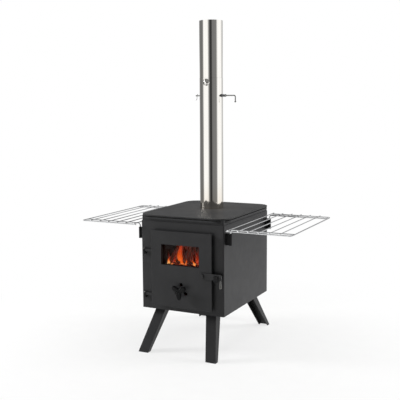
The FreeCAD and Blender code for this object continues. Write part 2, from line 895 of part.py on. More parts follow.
def air_holes(low, high):
    return [
        rod(d.air_hole_diameter, high - low + 2 * d.cut_overrun, (x, low - d.cut_overrun, z), "Y")
        for x, z in air_hole_places()
    ]


def make_door():
    body = new_body()
    plate = pad(body, "XZ_Plane", -skin_back, d.sheet,
                rectangle((door_left, door_right), (door_bottom, door_top)))
    round_edges(body, plate, d.door_round, lambda e, m: abs(m.y - door_face.value) < SAME_PLACE)
    flange = frame_plate(flange_x, flange_z, (skin_back, door_back),
                         widened(flange_x, -d.sheet), widened(flange_z, -d.sheet))
    collar = block(widened(window_x, d.sheet), (skin_back, collar_back), widened(window_z, d.sheet))
    window = block(window_x, (door_face - d.cut_overrun, collar_back + d.cut_overrun), window_z)
    air_bore = rod(d.air_spindle_diameter + 2 * d.air_fit, d.sheet + 2 * d.cut_overrun,
                   (door_middle, door_face - d.cut_overrun, air_z), "Y")
    latch_bore = rod(d.latch_bolt_diameter + 2 * d.latch_fit, d.sheet + 2 * d.cut_overrun,
                     (latch_x, door_face - d.cut_overrun, latch_z), "Y")
    shell = fuse(body, flange, collar)
    piece("door_skin", cut(shell, window, air_bore, latch_bore, *air_holes(door_face, skin_back)))


def frame_plate(x, z, y, inner_x_span, inner_z_span):
    """A flat frame between two planes."""
    hole = block(inner_x_span, (y[0] - d.cut_overrun, y[1] + d.cut_overrun), inner_z_span)
    return cut(block(x, y, z), hole)


def make_glazing():
    glass_x = widened(window_x, d.glass_lap)
    glass_z = widened(window_z, d.glass_lap)
    gasket = frame_plate(glass_x, glass_z, (collar_back, glass_front), window_x, window_z)
    piece("glass_gasket", gasket)
    piece("door_glass", block(glass_x, (glass_front, glass_back), glass_z))
    outer_x = widened(glass_x, d.retainer_lap)
    outer_z = widened(glass_z, d.retainer_lap)
    retainer = frame_plate(outer_x, outer_z, (glass_back, retainer_back), window_x, window_z)
    inset = d.retainer_lap / 2
    places = [(x, z) for x in (outer_x[0] + inset, outer_x[1] - inset)
              for z in (outer_z[0] + inset, outer_z[1] - inset)]
    holes = []
    screws = []
    bore = d.retainer_screw_diameter + 2 * d.screw_gap
    for x, z in places:
        holes.append(rod(bore, d.retainer_thickness + 2 * d.cut_overrun,
                         (x, glass_back - d.cut_overrun, z), "Y"))
        shank = rod(d.retainer_screw_diameter, retainer_back - skin_back, (x, skin_back, z), "Y")
        head = rod(d.retainer_screw_head, d.retainer_screw_head_height, (x, retainer_back, z), "Y")
        screws.append(fuse(shank, head))
    piece("glass_retainer", cut(retainer, *holes))
    piece("retainer_screws", group(*screws))


def make_seal():
    edge_x = widened(flange_x, -d.sheet)
    edge_z = widened(flange_z, -d.sheet)
    middle_x = widened(edge_x, -d.seal_gap - d.seal_diameter / 2)
    middle_z = widened(edge_z, -d.seal_gap - d.seal_diameter / 2)
    rope_y = front - d.seal_gap - d.seal_diameter / 2
    loop = [(door_middle, rope_y, middle_z[0]), (middle_x[1], rope_y, middle_z[0]),
            (middle_x[1], rope_y, middle_z[1]), (middle_x[0], rope_y, middle_z[1]),
            (middle_x[0], rope_y, middle_z[0]), (door_middle, rope_y, middle_z[0])]
    piece("door_seal", bent_wire(loop, d.seal_bend, d.seal_diameter))

    floor_front = rope_y - d.seal_diameter / 2 - d.seal_gap
    floor = (floor_front - d.seal_channel_sheet, floor_front)
    band = d.seal_diameter + 2 * d.seal_gap + d.seal_channel_sheet
    hole_x = widened(edge_x, -band)
    hole_z = widened(edge_z, -band)
    bed = frame_plate(edge_x, edge_z, floor, hole_x, hole_z)
    lip = frame_plate(widened(hole_x, d.seal_channel_sheet), widened(hole_z, d.seal_channel_sheet),
                      (floor[0], rope_y), hole_x, hole_z)
    piece("seal_channel", fuse(bed, lip))


# Hinges: a knuckle on the door over a knuckle on the front panel, with a headed pin down through both
hinge_x = d.hinge_margin - right
hinge_y = front - d.hinge_stand


def hinge_heights():
    return (door_bottom + d.hinge_lower_rise, door_top - d.hinge_upper_drop)


def make_hinges():
    half = d.knuckle_diameter / 2
    strap = d.hinge_strap_thickness / 2
    door_side, box_side, pins = [], [], []
    for middle in hinge_heights():
        upper = (middle + d.knuckle_gap / 2, middle + d.knuckle_gap / 2 + d.knuckle_length)
        lower = (middle - d.knuckle_gap / 2 - d.knuckle_length, middle - d.knuckle_gap / 2)
        bore = d.hinge_pin_diameter + 2 * d.hinge_fit
        for span, solids, plate in (
            (upper, door_side, ((hinge_x, flange_x[0]), (hinge_y - strap, hinge_y + strap))),
            (lower, box_side, ((hinge_x - half, hinge_x + half), (hinge_y, front))),
        ):
            knuckle = rod(d.knuckle_diameter, d.knuckle_length, (hinge_x, hinge_y, span[0]))
            hole = rod(bore, d.knuckle_length + 2 * d.cut_overrun,
                       (hinge_x, hinge_y, span[0] - d.cut_overrun))
            solids.append(cut(fuse(knuckle, block(*plate, span)), hole))
        shank = rod(d.hinge_pin_diameter, upper[1] + d.knuckle_gap - lower[0], (hinge_x, hinge_y, lower[0]))
        head = rod(d.hinge_pin_head, d.hinge_pin_head_height, (hinge_x, hinge_y, upper[1] + d.knuckle_gap))
        pins.append(fuse(shank, head))
    piece("door_hinge_straps", group(*door_side))
    piece("box_hinge_lugs", group(*box_side))
    piece("hinge_pins", group(*pins))


# Latch: a bar that turns on a bolt through the door skin and drops into an upturned keeper
bar_back = door_face - d.latch_washer_thickness
bar_front = bar_back - d.latch_bar_thickness
bar_bottom = latch_z - d.latch_bar_height / 2
keeper_x = (door_right + d.keeper_door_gap, door_right + d.keeper_door_gap + d.keeper_width)
handle_x = keeper_x[1] + d.handle_gap + d.handle_foot_diameter / 2
bar_end = handle_x + d.handle_foot_diameter / 2


def make_latch():
    bore = d.latch_bolt_diameter + 2 * d.latch_fit
    body = new_body()
    bar = pad(body, "XZ_Plane", -bar_back, d.latch_bar_thickness,
              rectangle((latch_x - d.latch_tail, bar_end), (bar_bottom, bar_bottom + d.latch_bar_height)))
    round_edges(body, bar, d.latch_bar_height / 2 * ROUND_HEAD_SHARE,
                lambda e, m: is_along(e, FreeCAD.Vector(0, 1, 0)))
    hole = rod(bore, d.latch_bar_thickness + 2 * d.cut_overrun,
               (latch_x, bar_front - d.cut_overrun, latch_z), "Y")
    slot = rod(d.handle_tang_diameter + 2 * d.screw_gap, d.handle_bar_cover + d.cut_overrun,
               (handle_x, (bar_front + bar_back) / 2, bar_bottom - d.cut_overrun))
    piece("latch_bar", cut(body, hole, slot))

    cone = doc.addObject("Part::Cone", "Cone")
    bind(cone, "Radius1", d.handle_foot_diameter / 2)
    bind(cone, "Radius2", d.handle_top_diameter / 2)
    bind(cone, "Height", d.handle_length)
    handle_y = (bar_front + bar_back) / 2
    place(cone, handle_x, handle_y, bar_bottom - d.handle_length)
    tang = rod(d.handle_tang_diameter, d.handle_bar_cover, (handle_x, handle_y, bar_bottom))
    tip = doc.addObject("Part::Sphere", "Tip")
    bind(tip, "Radius", d.handle_foot_diameter / 2)
    place(tip, handle_x, handle_y, bar_bottom - d.handle_length)
    piece("latch_handle", fuse(cone, tang, tip))

    washer = rod(d.latch_washer_diameter, d.latch_washer_thickness, (latch_x, bar_back, latch_z), "Y")
    washer_bore = rod(bore, d.latch_washer_thickness + 2 * d.cut_overrun,
                      (latch_x, bar_back - d.cut_overrun, latch_z), "Y")
    piece("latch_washer", cut(washer, washer_bore))

    nut_back = skin_back + d.latch_nut_thickness
    head = rod(d.latch_bolt_head, d.latch_bolt_head_height,
               (latch_x, bar_front - d.seam_gap - d.latch_bolt_head_height, latch_z), "Y")
    shank_front = bar_front - d.seam_gap
    shank = rod(d.latch_bolt_diameter, nut_back - shank_front, (latch_x, shank_front, latch_z), "Y")
    piece("latch_bolt", fuse(head, shank))
    blank = hexagon(d.latch_nut_across, d.latch_nut_thickness, (latch_x, skin_back, latch_z), "Y")
    thread = rod(bore, d.latch_nut_thickness + 2 * d.cut_overrun,
                 (latch_x, skin_back - d.cut_overrun, latch_z), "Y")
    piece("latch_nut", cut(blank, thread))


def make_keeper():
    lip_back = bar_front - d.keeper_play
    lip_front = lip_back - d.keeper_lip
    shelf_top = bar_bottom - d.seam_gap
    shelf_bottom = shelf_top - d.keeper_shelf
    outline = [
        (front, shelf_bottom), (front, shelf_bottom + d.keeper_back_rise),
        (front - d.keeper_plate, shelf_bottom + d.keeper_back_rise), (front - d.keeper_plate, shelf_top),
        (lip_back, shelf_top), (lip_back, shelf_top + d.keeper_lip_rise),
        (lip_front, shelf_top + d.keeper_lip_rise), (lip_front, shelf_bottom),
    ]
    body = new_body()
    pad(body, "YZ_Plane", keeper_x[0], d.keeper_width, outline)
    piece("latch_keeper", body)


# Air control: a star knob turns a spindle and a rotor whose holes pass over those in the door skin
def make_air_control():
    knob_back = door_face - d.knob_stand
    knob_front = knob_back - d.knob_thickness
    hub = rod(d.knob_hub_diameter, d.knob_thickness, (door_middle, knob_front, air_z), "Y")
    solids = [hub]
    for arm in range(KNOB_ARMS):
        angle = 30 + 360 / KNOB_ARMS * arm
        tip_x = door_middle + d.knob_arm_reach * math.cos(math.radians(angle))
        tip_z = air_z + d.knob_arm_reach * math.sin(math.radians(angle))
        solids.append(rod(d.knob_arm_diameter, d.knob_thickness, (tip_x, knob_front, tip_z), "Y"))
        web = doc.addObject("Part::Box", "Arm")
        bind(web, "Length", d.knob_arm_reach)
        bind(web, "Width", d.knob_thickness)
        bind(web, "Height", d.knob_arm_width)
        half = d.knob_arm_width / 2
        turn = FreeCAD.Rotation(FreeCAD.Vector(0, -1, 0), angle)
        web.Placement = FreeCAD.Placement(FreeCAD.Vector(0, 0, 0), turn)
        bind(web, "Placement.Base.x", door_middle + half * math.sin(math.radians(angle)))
        bind(web, "Placement.Base.y", knob_front)
        bind(web, "Placement.Base.z", air_z - half * math.cos(math.radians(angle)))
        solids.append(web)
    grip_end = knob_back - d.air_spindle_grip
    socket = rod(d.air_spindle_diameter + 2 * d.air_fit, d.air_spindle_grip + d.cut_overrun,
                 (door_middle, grip_end, air_z), "Y")
    piece("air_knob", cut(fuse(*solids), socket))

    rotor_front = skin_back + d.rotor_gap
    rotor_back = rotor_front + d.rotor_thickness
    spindle_back = rotor_back + d.air_nut_thickness
    piece("air_spindle",
          rod(d.air_spindle_diameter, spindle_back - grip_end, (door_middle, grip_end, air_z), "Y"))
    disc = rod(d.rotor_diameter, d.rotor_thickness, (door_middle, rotor_front, air_z), "Y")
    bore = d.air_spindle_diameter + 2 * d.air_fit
    middle = rod(bore, d.rotor_thickness + 2 * d.cut_overrun,
                 (door_middle, rotor_front - d.cut_overrun, air_z), "Y")
    piece("air_rotor", cut(disc, middle, *air_holes(rotor_front, rotor_back)))
    blank = hexagon(d.air_nut_across, d.air_nut_thickness, (door_middle, rotor_back, air_z), "Y")
    thread = rod(bore, d.air_nut_thickness + 2 * d.cut_overrun,
                 (door_middle, rotor_back - d.cut_overrun, air_z), "Y")
    piece("air_nut", cut(blank, thread))


# Racks: a welded wire grid on two rods whose ends turn down into sockets on the side wall
rack_z = hob_top - d.rack_drop
socket_x = right + d.socket_reach
socket_y = back - d.socket_back
socket_top = rack_z - d.rack_bend - d.socket_clear
SIDES = (("left", -1), ("right", 1))
ENDS = (("front", -1), ("rear", 1))


def make_sockets():
    for side_name, side in SIDES:
        for end_name, end in ENDS:
            low = socket_top - d.socket_length
            tube = rod(d.socket_tube_diameter, d.socket_length, (side * socket_x, end * socket_y, low))
            ends = sorted((side * right, side * socket_x), key=by_value)
            middle = end * socket_y
            half = d.socket_web / 2
            web = block(tuple(ends), (middle - half, middle + half), (low, socket_top))
            bore = rod(d.rack_rod_diameter + 2 * d.socket_fit, d.socket_length + 2 * d.cut_overrun,
                       (side * socket_x, end * socket_y, low - d.cut_overrun))
            piece(f"{side_name}_{end_name}_socket", cut(fuse(tube, web), bore))


def make_racks():
    far = socket_x + d.rack_reach
    rod_end = far - d.rack_edge_diameter / 2 + d.rack_weld
    half_y = socket_y + d.rack_overhang
    edge_y = half_y - d.rack_edge_inset
    edge_z = rack_z + (d.rack_rod_diameter - d.rack_edge_diameter) / 4
    wire_z = rack_z + d.rack_rod_diameter / 2 + d.rack_wire_diameter / 2 - d.rack_weld
    leg_end = socket_top - d.socket_length + d.socket_clear
    for name, side in SIDES:
        rods = []
        for end in (-1, 1):
            y = end * socket_y
            rods.append(bent_wire([(side * socket_x, y, leg_end), (side * socket_x, y, rack_z),
                                   (side * rod_end, y, rack_z)], d.rack_bend, d.rack_rod_diameter))
        start = side * (socket_x - d.rack_edge_start)
        wires = [bent_wire([(start, -edge_y, edge_z), (side * far, -edge_y, edge_z),
                            (side * far, edge_y, edge_z), (start, edge_y, edge_z)],
                           d.rack_bend, d.rack_edge_diameter)]
        for number in range(RACK_WIRES):
            x = side * (socket_x + d.rack_wire_start + d.rack_wire_pitch * number)
            wires.append(rod(d.rack_wire_diameter, 2 * half_y, (x, -half_y, wire_z), "Y"))
        piece(f"{name}_rack_grid", cut(fuse(*wires), *rods))
        piece(f"{name}_rack_rods", group(*rods))


# Legs: folded channels that splay out and taper, with a plate bolted under the base
def channel(middle, web_face, outward, depth):
    """The U outline of a leg at one height, with its web facing outwards."""
    half = d.leg_width / 2
    tip = web_face - outward * depth
    inside = web_face - outward * d.sheet
    return [
        (middle - half, web_face), (middle + half, web_face),
        (middle + half, tip), (middle + half - d.sheet, tip),
        (middle + half - d.sheet, inside), (middle - half + d.sheet, inside),
        (middle - half + d.sheet, tip), (middle - half, tip),
    ]


def make_legs():
    plate_low = d.leg_height - d.sheet
    for side_name, side in SIDES:
        for end_name, end in ENDS:
            body = new_body()
            top = sketch_on(body, "XY_Plane", plate_low)
            top_x = side * d.leg_top_across / 2
            top_y = end * leg_top_y
            draw_outline(top, channel(top_x, top_y, end, d.leg_top_depth))
            foot = sketch_on(body, "XY_Plane", 0)
            foot_x = side * d.leg_foot_across / 2
            foot_y = end * d.leg_foot_along / 2
            draw_outline(foot, channel(foot_x, foot_y, end, d.leg_foot_depth))
            loft = body.newObject("PartDesign::AdditiveLoft", "Loft")
            loft.Profile = top
            loft.Sections = [foot]
            loft.Ruled = True
            doc.recompute()
            half = d.leg_plate_width / 2
            ends = sorted((top_y, top_y - end * d.leg_plate_depth), key=by_value)
            pad(body, "XY_Plane", plate_low, d.sheet, rectangle((top_x - half, top_x + half), tuple(ends)))
            piece(f"{end_name}_{side_name}_leg", cut(body, *leg_bolt_holes(plate_low, d.leg_height)))


def make_leg_bolts():
    low = d.leg_height - d.sheet
    bolts = []
    nuts = []
    for x, y in leg_bolt_places():
        head = hexagon(d.leg_bolt_head, d.leg_bolt_head_height, (x, y, low - d.leg_bolt_head_height))
        shank = rod(d.leg_bolt_diameter, 2 * d.sheet + d.leg_nut_thickness + d.leg_bolt_end, (x, y, low))
        bolts.append(fuse(head, shank))
        blank = hexagon(d.leg_bolt_head, d.leg_nut_thickness, (x, y, floor_top))
        thread = rod(d.leg_bolt_diameter + 2 * d.screw_gap, d.leg_nut_thickness + 2 * d.cut_overrun,
                     (x, y, floor_top - d.cut_overrun))
        nuts.append(cut(blank, thread))
    piece("leg_bolts", group(*bolts))
    piece("leg_nuts", group(*nuts))


make_wrap()
make_front()
make_base()
make_hob()
make_rim()
make_spigot()
make_flue()
make_lock_screw()
make_damper()
make_spring()
make_grate()
make_baffle()
make_ash_pan()
make_door()
make_glazing()
make_seal()
make_hinges()
make_latch()
make_keeper()
make_air_control()
make_sockets()
make_racks()
make_legs()
make_leg_bolts()
doc.recompute()

# Nothing is written unless every object computed and every sub-part is a sound solid
failed = [item.Label for item in doc.Objects if "Invalid" in item.State or "Error" in item.State]
unsound = [item.Label for item in pieces if item.Shape.isNull() or not item.Shape.isValid()]
if failed or unsound:
    raise RuntimeError(f"failed objects: {failed}; unsound sub-parts: {unsound}")
os.makedirs("parts", exist_ok=True)
for item in pieces:
    item.Shape.exportStep(f"parts/{item.Label}.step")
    print(f"{item.Label}: {len(item.Shape.Solids)} solid(s), {item.Shape.Volume:.0f} mm3")
print(f"{len(pieces)} sub-parts")
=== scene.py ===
# %% [markdown]
# # A garden stove: finishes, fire and small soft pieces on a fixed steel frame
# The folded sheet, the tubes, the hinges and the racks arrive as finished solids, because metal work is
# best drawn with real sizes. What is left for this file is what the eye reads as material: stove paint,
# polished tube, fibre rope, moulded plastic and a fire behind the glass. The frame is loaded first, so that
# every new piece can take its place from the solid that it belongs to.

# %% Load the frame
import json
import math

import bpy
import numpy as np
from mathutils import Matrix, Vector


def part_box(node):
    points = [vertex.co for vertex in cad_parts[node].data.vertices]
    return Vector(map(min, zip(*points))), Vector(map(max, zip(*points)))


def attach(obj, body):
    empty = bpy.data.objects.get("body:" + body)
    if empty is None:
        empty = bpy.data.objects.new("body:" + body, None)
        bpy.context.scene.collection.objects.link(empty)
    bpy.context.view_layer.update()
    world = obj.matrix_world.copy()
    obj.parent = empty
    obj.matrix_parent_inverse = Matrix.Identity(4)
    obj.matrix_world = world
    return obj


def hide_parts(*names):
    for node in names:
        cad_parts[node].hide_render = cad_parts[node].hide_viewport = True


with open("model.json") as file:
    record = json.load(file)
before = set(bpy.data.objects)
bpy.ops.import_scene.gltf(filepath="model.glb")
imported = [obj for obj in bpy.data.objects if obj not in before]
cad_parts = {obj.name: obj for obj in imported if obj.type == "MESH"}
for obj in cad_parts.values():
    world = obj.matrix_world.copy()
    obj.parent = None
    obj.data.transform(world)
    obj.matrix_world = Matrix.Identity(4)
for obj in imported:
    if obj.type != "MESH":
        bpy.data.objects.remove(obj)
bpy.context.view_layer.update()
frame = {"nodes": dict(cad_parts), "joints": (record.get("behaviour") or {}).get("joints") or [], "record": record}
nodes = frame["nodes"]
slot_of = {part["node"]: part["material_slot"] for part in frame["record"]["subparts"]}

# %% [markdown]
# ## Camera
# A long lens some three metres away keeps the upright edges nearly parallel. The camera is written as a
# place, a direction in degrees and a focal length, so that each number means something: the view comes from
# the right of the door and a little above it.

# %% Place the camera
VIEW_AZIMUTH = 26.44
VIEW_PITCH = 7.43
VIEW_ROLL = -0.40
SENSOR_MM = 36.0
IMAGE_PIXELS = 400
FOCAL_PIXELS = 742.3
CAMERA_PLACE = (1.3866, -2.8544, 1.0242)

azimuth, pitch, roll = np.radians([VIEW_AZIMUTH, VIEW_PITCH, VIEW_ROLL])
forward = np.array([-np.sin(azimuth) * np.cos(pitch), np.cos(azimuth) * np.cos(pitch), -np.sin(pitch)])
level = np.array([np.cos(azimuth), np.sin(azimuth), 0.0])
above = np.cross(level, forward)
right = np.cos(roll) * level + np.sin(roll) * above
up = np.cos(roll) * above - np.sin(roll) * level
camera_data = bpy.data.cameras.new("camera")
camera_data.sensor_width = SENSOR_MM
camera_data.lens = FOCAL_PIXELS * SENSOR_MM / IMAGE_PIXELS
camera = bpy.data.objects.new("camera", camera_data)
turn = np.eye(4)
turn[:3, 0], turn[:3, 1], turn[:3, 2] = right, up, -forward
turn[:3, 3] = CAMERA_PLACE
camera.matrix_world = Matrix(turn.tolist())
bpy.context.scene.collection.objects.link(camera)
bpy.context.scene.camera = camera
bpy.context.scene.view_settings.view_transform = "Standard"
print("lens", round(camera_data.lens, 1), "mm")

# %% [markdown]
# ## Tools for materials
# A finish is a small network of nodes. One function adds a node, sets its values and links its inputs, and
# a second one turns a colour as a painter would write it into the linear light that the renderer adds up.
# Pattern sizes are given in millimetres.


# %% Node, colour and pattern helpers
def linear(code):
    """An sRGB hex colour in linear light: c / 12.92 near black, else ((c + 0.055) / 1.055)^2.4; alpha 1."""
    srgb = np.array([int(code[at:at + 2], 16) for at in (1, 3, 5)]) / 255
    light = np.where(srgb <= 0.04045, srgb / 12.92, ((srgb + 0.055) / 1.055) ** 2.4)
    return (*light.tolist(), 1.0)


def cells_of(size_mm):
    """The texture scale that makes one cell of a pattern that many millimetres wide."""
    return 1000 / size_mm


def add(tree, kind, values=None, links=None, stops=None, **settings):
    """Adds one node: settings are its options, values its fixed inputs, links its inputs from sockets."""
    node = tree.nodes.new("ShaderNode" + kind)
    for name, value in settings.items():
        setattr(node, name, value)
    for name, value in (values or {}).items():
        node.inputs[name].default_value = value
    for name, socket in (links or {}).items():
        tree.links.new(socket, node.inputs[name])
    for number, (place, colour) in enumerate(stops or []):
        ramp = node.color_ramp.elements
        stop = ramp[number] if number < 2 else ramp.new(place)
        stop.position = place
        stop.color = linear(colour) if isinstance(colour, str) else (colour, colour, colour, 1.0)
    return node.outputs


def new_finish(name):
    """An empty material, its node tree and the socket that gives a point's place on the piece in metres."""
    material = bpy.data.materials.new(name)
    material.use_nodes = True
    tree = material.node_tree
    tree.nodes.clear()
    return material, tree, add(tree, "TexCoord")["Object"]


def show(tree, surface):
    """Links a shader to the material's output."""
    add(tree, "OutputMaterial", links={"Surface": surface})


print("black paint in linear light", np.round(linear("#2a2a2b"), 4).tolist())

# %% [markdown]
# ## Stove paint
# The box, hob, door and legs are folded steel sheet under sprayed, oven-cured silicone paint. It is satin,
# not glossy: light catches it in broad soft patches, and a fine orange peel breaks the reflections. A
# cloudy noise moves the colour and the roughness a little, and a finer one lifts the surface. Real orange
# peel is about 1 mm wide. It is drawn at 4 mm here, because anything finer would vanish at this image size.


# %% Satin stove paint
CLOUD_MM = 90
SMEAR_MM = 28
PEEL_MM = 4
PEEL_LIFT = 0.00012
ROUGH_SPREAD = 0.1
RING_NEAR = 0.06
RING_FAR = 0.17
RING_SHARE = 0.55


def stove_paint(name, dark, pale, rough_low=0.40, heat_colour=None):
    """Sprayed black paint; with a heat colour it greys in a ring round the flue, as a used hob does."""
    material, tree, place = new_finish(name)
    cloud = add(tree, "TexNoise", {"Scale": cells_of(CLOUD_MM), "Detail": 4.0}, {"Vector": place})[0]
    colour = add(tree, "ValToRGB", links={"Fac": cloud}, stops=[(0.3, dark), (0.7, pale)])["Color"]
    if heat_colour:
        reach = add(tree, "VectorMath", {1: flue_foot}, {0: place}, operation="DISTANCE")["Value"]
        ring = add(tree, "MapRange",
                   {"From Min": RING_NEAR, "From Max": RING_FAR, "To Min": RING_SHARE, "To Max": 0.0},
                   {"Value": reach}, interpolation_type="SMOOTHSTEP")["Result"]
        patchy = add(tree, "Math", links={0: ring, 1: cloud}, operation="MULTIPLY")[0]
        colour = add(tree, "Mix", {7: linear(heat_colour)}, {0: patchy, 6: colour}, data_type="RGBA")[2]
    smear = add(tree, "TexNoise", {"Scale": cells_of(SMEAR_MM), "Detail": 3.0}, {"Vector": place})[0]
    rough = add(tree, "MapRange", {"To Min": rough_low, "To Max": rough_low + ROUGH_SPREAD},
                {"Value": smear})["Result"]
    peel = add(tree, "TexNoise", {"Scale": cells_of(PEEL_MM), "Detail": 2.0}, {"Vector": place})[0]
    bump = add(tree, "Bump", {"Strength": 0.5, "Distance": PEEL_LIFT}, {"Height": peel})["Normal"]
    paint = add(tree, "BsdfPrincipled", {"IOR": 1.33},
                {"Base Color": colour, "Roughness": rough, "Normal": bump})["BSDF"]
    show(tree, paint)
    return material


flue_low, flue_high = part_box("lower_flue")
flue_foot = (*((flue_low + flue_high) / 2)[:2], flue_low[2])
paint = stove_paint("satin_stove_paint", "#232324", "#282829")
hob_paint = stove_paint("stove_paint_greyed_by_heat", "#242425", "#2b2b2b", 0.42, "#4a4845")
# A blacker, duller copy of the same paint: painted shade for the sockets and the keeper, which sit in shadow.
painted_shade_paint = stove_paint("black_paint_darkened_as_painted_shade", "#0e0e0f", "#151516", 0.6)
print("three stove paints")

# %% [markdown]
# ## Bright metals
# The flue is a polished stainless tube, so it is mostly a picture of the room. Polishing leaves faint lines
# along the tube, and the first hand's width above the hob takes a straw colour from the heat. The racks are
# chromed wire, smoother and colder. Small fasteners are zinc plated, which is duller and a little blue or
# yellow in patches. The inside of the flue and the damper plate are the same stainless under a film of
# soot.


# %% Polished, chromed, plated and sooted metal
TINT_RISE = 0.15
TINT_SHARE = 0.2


def bright_metal(name, clean, stained, rough_low, rough_high, patch_mm, stretch=1.0, tint=None):
    """A metal whose colour and roughness wander in patches; stretch draws the patches out along the tube."""
    material, tree, place = new_finish(name)
    drawn = add(tree, "Mapping", {"Scale": (1.0, 1.0, stretch)}, {"Vector": place})["Vector"]
    patch = add(tree, "TexNoise", {"Scale": cells_of(patch_mm), "Detail": 3.0}, {"Vector": drawn})[0]
    colour = add(tree, "ValToRGB", links={"Fac": patch}, stops=[(0.35, clean), (0.75, stained)])["Color"]
    if tint:
        height = add(tree, "SeparateXYZ", links={"Vector": place})["Z"]
        above_hob = add(tree, "Math", {1: flue_foot[2]}, {0: height}, operation="SUBTRACT")[0]
        warm = add(tree, "MapRange", {"From Max": TINT_RISE, "To Min": TINT_SHARE, "To Max": 0.0},
                   {"Value": above_hob}, interpolation_type="SMOOTHSTEP")["Result"]
        colour = add(tree, "Mix", {7: linear(tint)}, {0: warm, 6: colour}, data_type="RGBA")[2]
    rough = add(tree, "MapRange",
                {"From Min": 0.3, "From Max": 0.7, "To Min": rough_low, "To Max": rough_high},
                {"Value": patch})["Result"]
    metal = add(tree, "BsdfPrincipled", {"Metallic": 1.0}, {"Base Color": colour, "Roughness": rough})["BSDF"]
    show(tree, metal)
    return material


flue_steel = bright_metal("polished_stainless_tube", "#e2e0dc", "#d6d3cd", 0.05, 0.09, 5, 0.02, "#b79a6c")
chrome = bright_metal("chromed_wire", "#e6e7e8", "#d4d5d6", 0.06, 0.14, 8)
zinc = bright_metal("zinc_plated_steel", "#9a9da0", "#8d887a", 0.28, 0.42, 12)
bare_steel = bright_metal("turned_bare_steel", "#737372", "#625f5b", 0.34, 0.48, 6)
sooted = bright_metal("sooted_stainless", "#7b746a", "#37322e", 0.30, 0.55, 30)
print("five bright metals")

# %% [markdown]
# ## Iron and steel that live in the fire
# Nothing painted lasts inside the box. The grate is sand-cast iron, grainy and grey-brown. The baffle,
# ledges and ash pan are plain sheet that the heat has scaled, dark with rusty patches. Both are rough, so
# only colour and grain show.


# %% Cast iron and scaled steel
FIRED_CLOUD_MM = 45


def fired_metal(name, dark, pale, rust, grain_mm, lift):
    """Rough iron: dark to pale in clouds, rust where they are highest, and a grain that lifts the surface."""
    material, tree, place = new_finish(name)
    cloud = add(tree, "TexNoise", {"Scale": cells_of(FIRED_CLOUD_MM), "Detail": 5.0}, {"Vector": place})[0]
    colour = add(tree, "ValToRGB", links={"Fac": cloud},
                 stops=[(0.3, dark), (0.65, pale), (0.8, rust)])["Color"]
    grain = add(tree, "TexNoise", {"Scale": cells_of(grain_mm), "Detail": 3.0}, {"Vector": place})[0]
    rough = add(tree, "MapRange", {"To Min": 0.62, "To Max": 0.86}, {"Value": grain})["Result"]
    bump = add(tree, "Bump", {"Strength": 0.7, "Distance": lift}, {"Height": grain})["Normal"]
    iron = add(tree, "BsdfPrincipled", {"Metallic": 0.55},
               {"Base Color": colour, "Roughness": rough, "Normal": bump})["BSDF"]
    show(tree, iron)
    return material


cast_iron = fired_metal("sand_cast_iron", "#2b2927", "#3d3936", "#5b4231", 3.0, 0.0004)
scaled_steel = fired_metal("heat_scaled_steel", "#24211f", "#3a332d", "#5a4130", 6.0, 0.0001)
print("two fired metals")

# %% [markdown]
# ## Glass, fibre and moulded plastic
# The window is clear glass ceramic with a faint smoke film in patches. The rope seal and the tape round the
# glass are braided glass fibre, off-white and fluffy, with smoke stains. The star knob is a hot-pressed
# black thermoset: very smooth, so that small bright highlights sit on its arms.

# %% Glass ceramic
FILM_MM = 35
glass, tree, place = new_finish("clear_glass_ceramic")
film = add(tree, "TexNoise", {"Scale": cells_of(FILM_MM), "Detail": 4.0}, {"Vector": place})[0]
film_rough = add(tree, "MapRange", {"From Min": 0.45, "From Max": 0.8, "To Min": 0.0, "To Max": 0.06},
                 {"Value": film})["Result"]
film_colour = add(tree, "ValToRGB", links={"Fac": film}, stops=[(0.4, "#fbf6ee"), (0.8, "#d9c8ac")])["Color"]
show(tree, add(tree, "BsdfPrincipled", {"IOR": 1.15, "Transmission Weight": 1.0},
               {"Base Color": film_colour, "Roughness": film_rough})["BSDF"])
print("finish", glass.name)

# %% Braided glass fibre
TUFT_MM = 2.5
STAIN_MM = 40
fibre, tree, place = new_finish("braided_glass_fibre")
tuft = add(tree, "TexNoise", {"Scale": cells_of(TUFT_MM), "Detail": 3.0}, {"Vector": place})[0]
stain = add(tree, "TexNoise", {"Scale": cells_of(STAIN_MM), "Detail": 3.0}, {"Vector": place})[0]
clean = add(tree, "ValToRGB", links={"Fac": tuft}, stops=[(0.3, "#8d877c"), (0.7, "#c8c1b3")])["Color"]
smoked = add(tree, "MapRange", {"From Min": 0.4, "From Max": 0.75, "To Min": 0.0, "To Max": 0.6},
             {"Value": stain})["Result"]
colour = add(tree, "Mix", {7: linear("#4d4742")}, {0: smoked, 6: clean}, data_type="RGBA")[2]
bump = add(tree, "Bump", {"Strength": 0.8, "Distance": 0.0005}, {"Height": tuft})["Normal"]
show(tree, add(tree, "BsdfPrincipled", {"Roughness": 0.95, "Sheen Weight": 0.3},
               {"Base Color": colour, "Normal": bump})["BSDF"])
print("finish", fibre.name)

# %% Hot-pressed thermoset
FLOW_MM = 9
thermoset, tree, place = new_finish("hot_pressed_black_thermoset")
flow = add(tree, "TexNoise", {"Scale": cells_of(FLOW_MM), "Detail": 3.0}, {"Vector": place})[0]
colour = add(tree, "ValToRGB", links={"Fac": flow}, stops=[(0.3, "#070708"), (0.7, "#0d0d0e")])["Color"]
rough = add(tree, "MapRange", {"To Min": 0.14, "To Max": 0.24}, {"Value": flow})["Result"]
show(tree, add(tree, "BsdfPrincipled", {"IOR": 1.22}, {"Base Color": colour, "Roughness": rough})["BSDF"])
print("finish", thermoset.name)
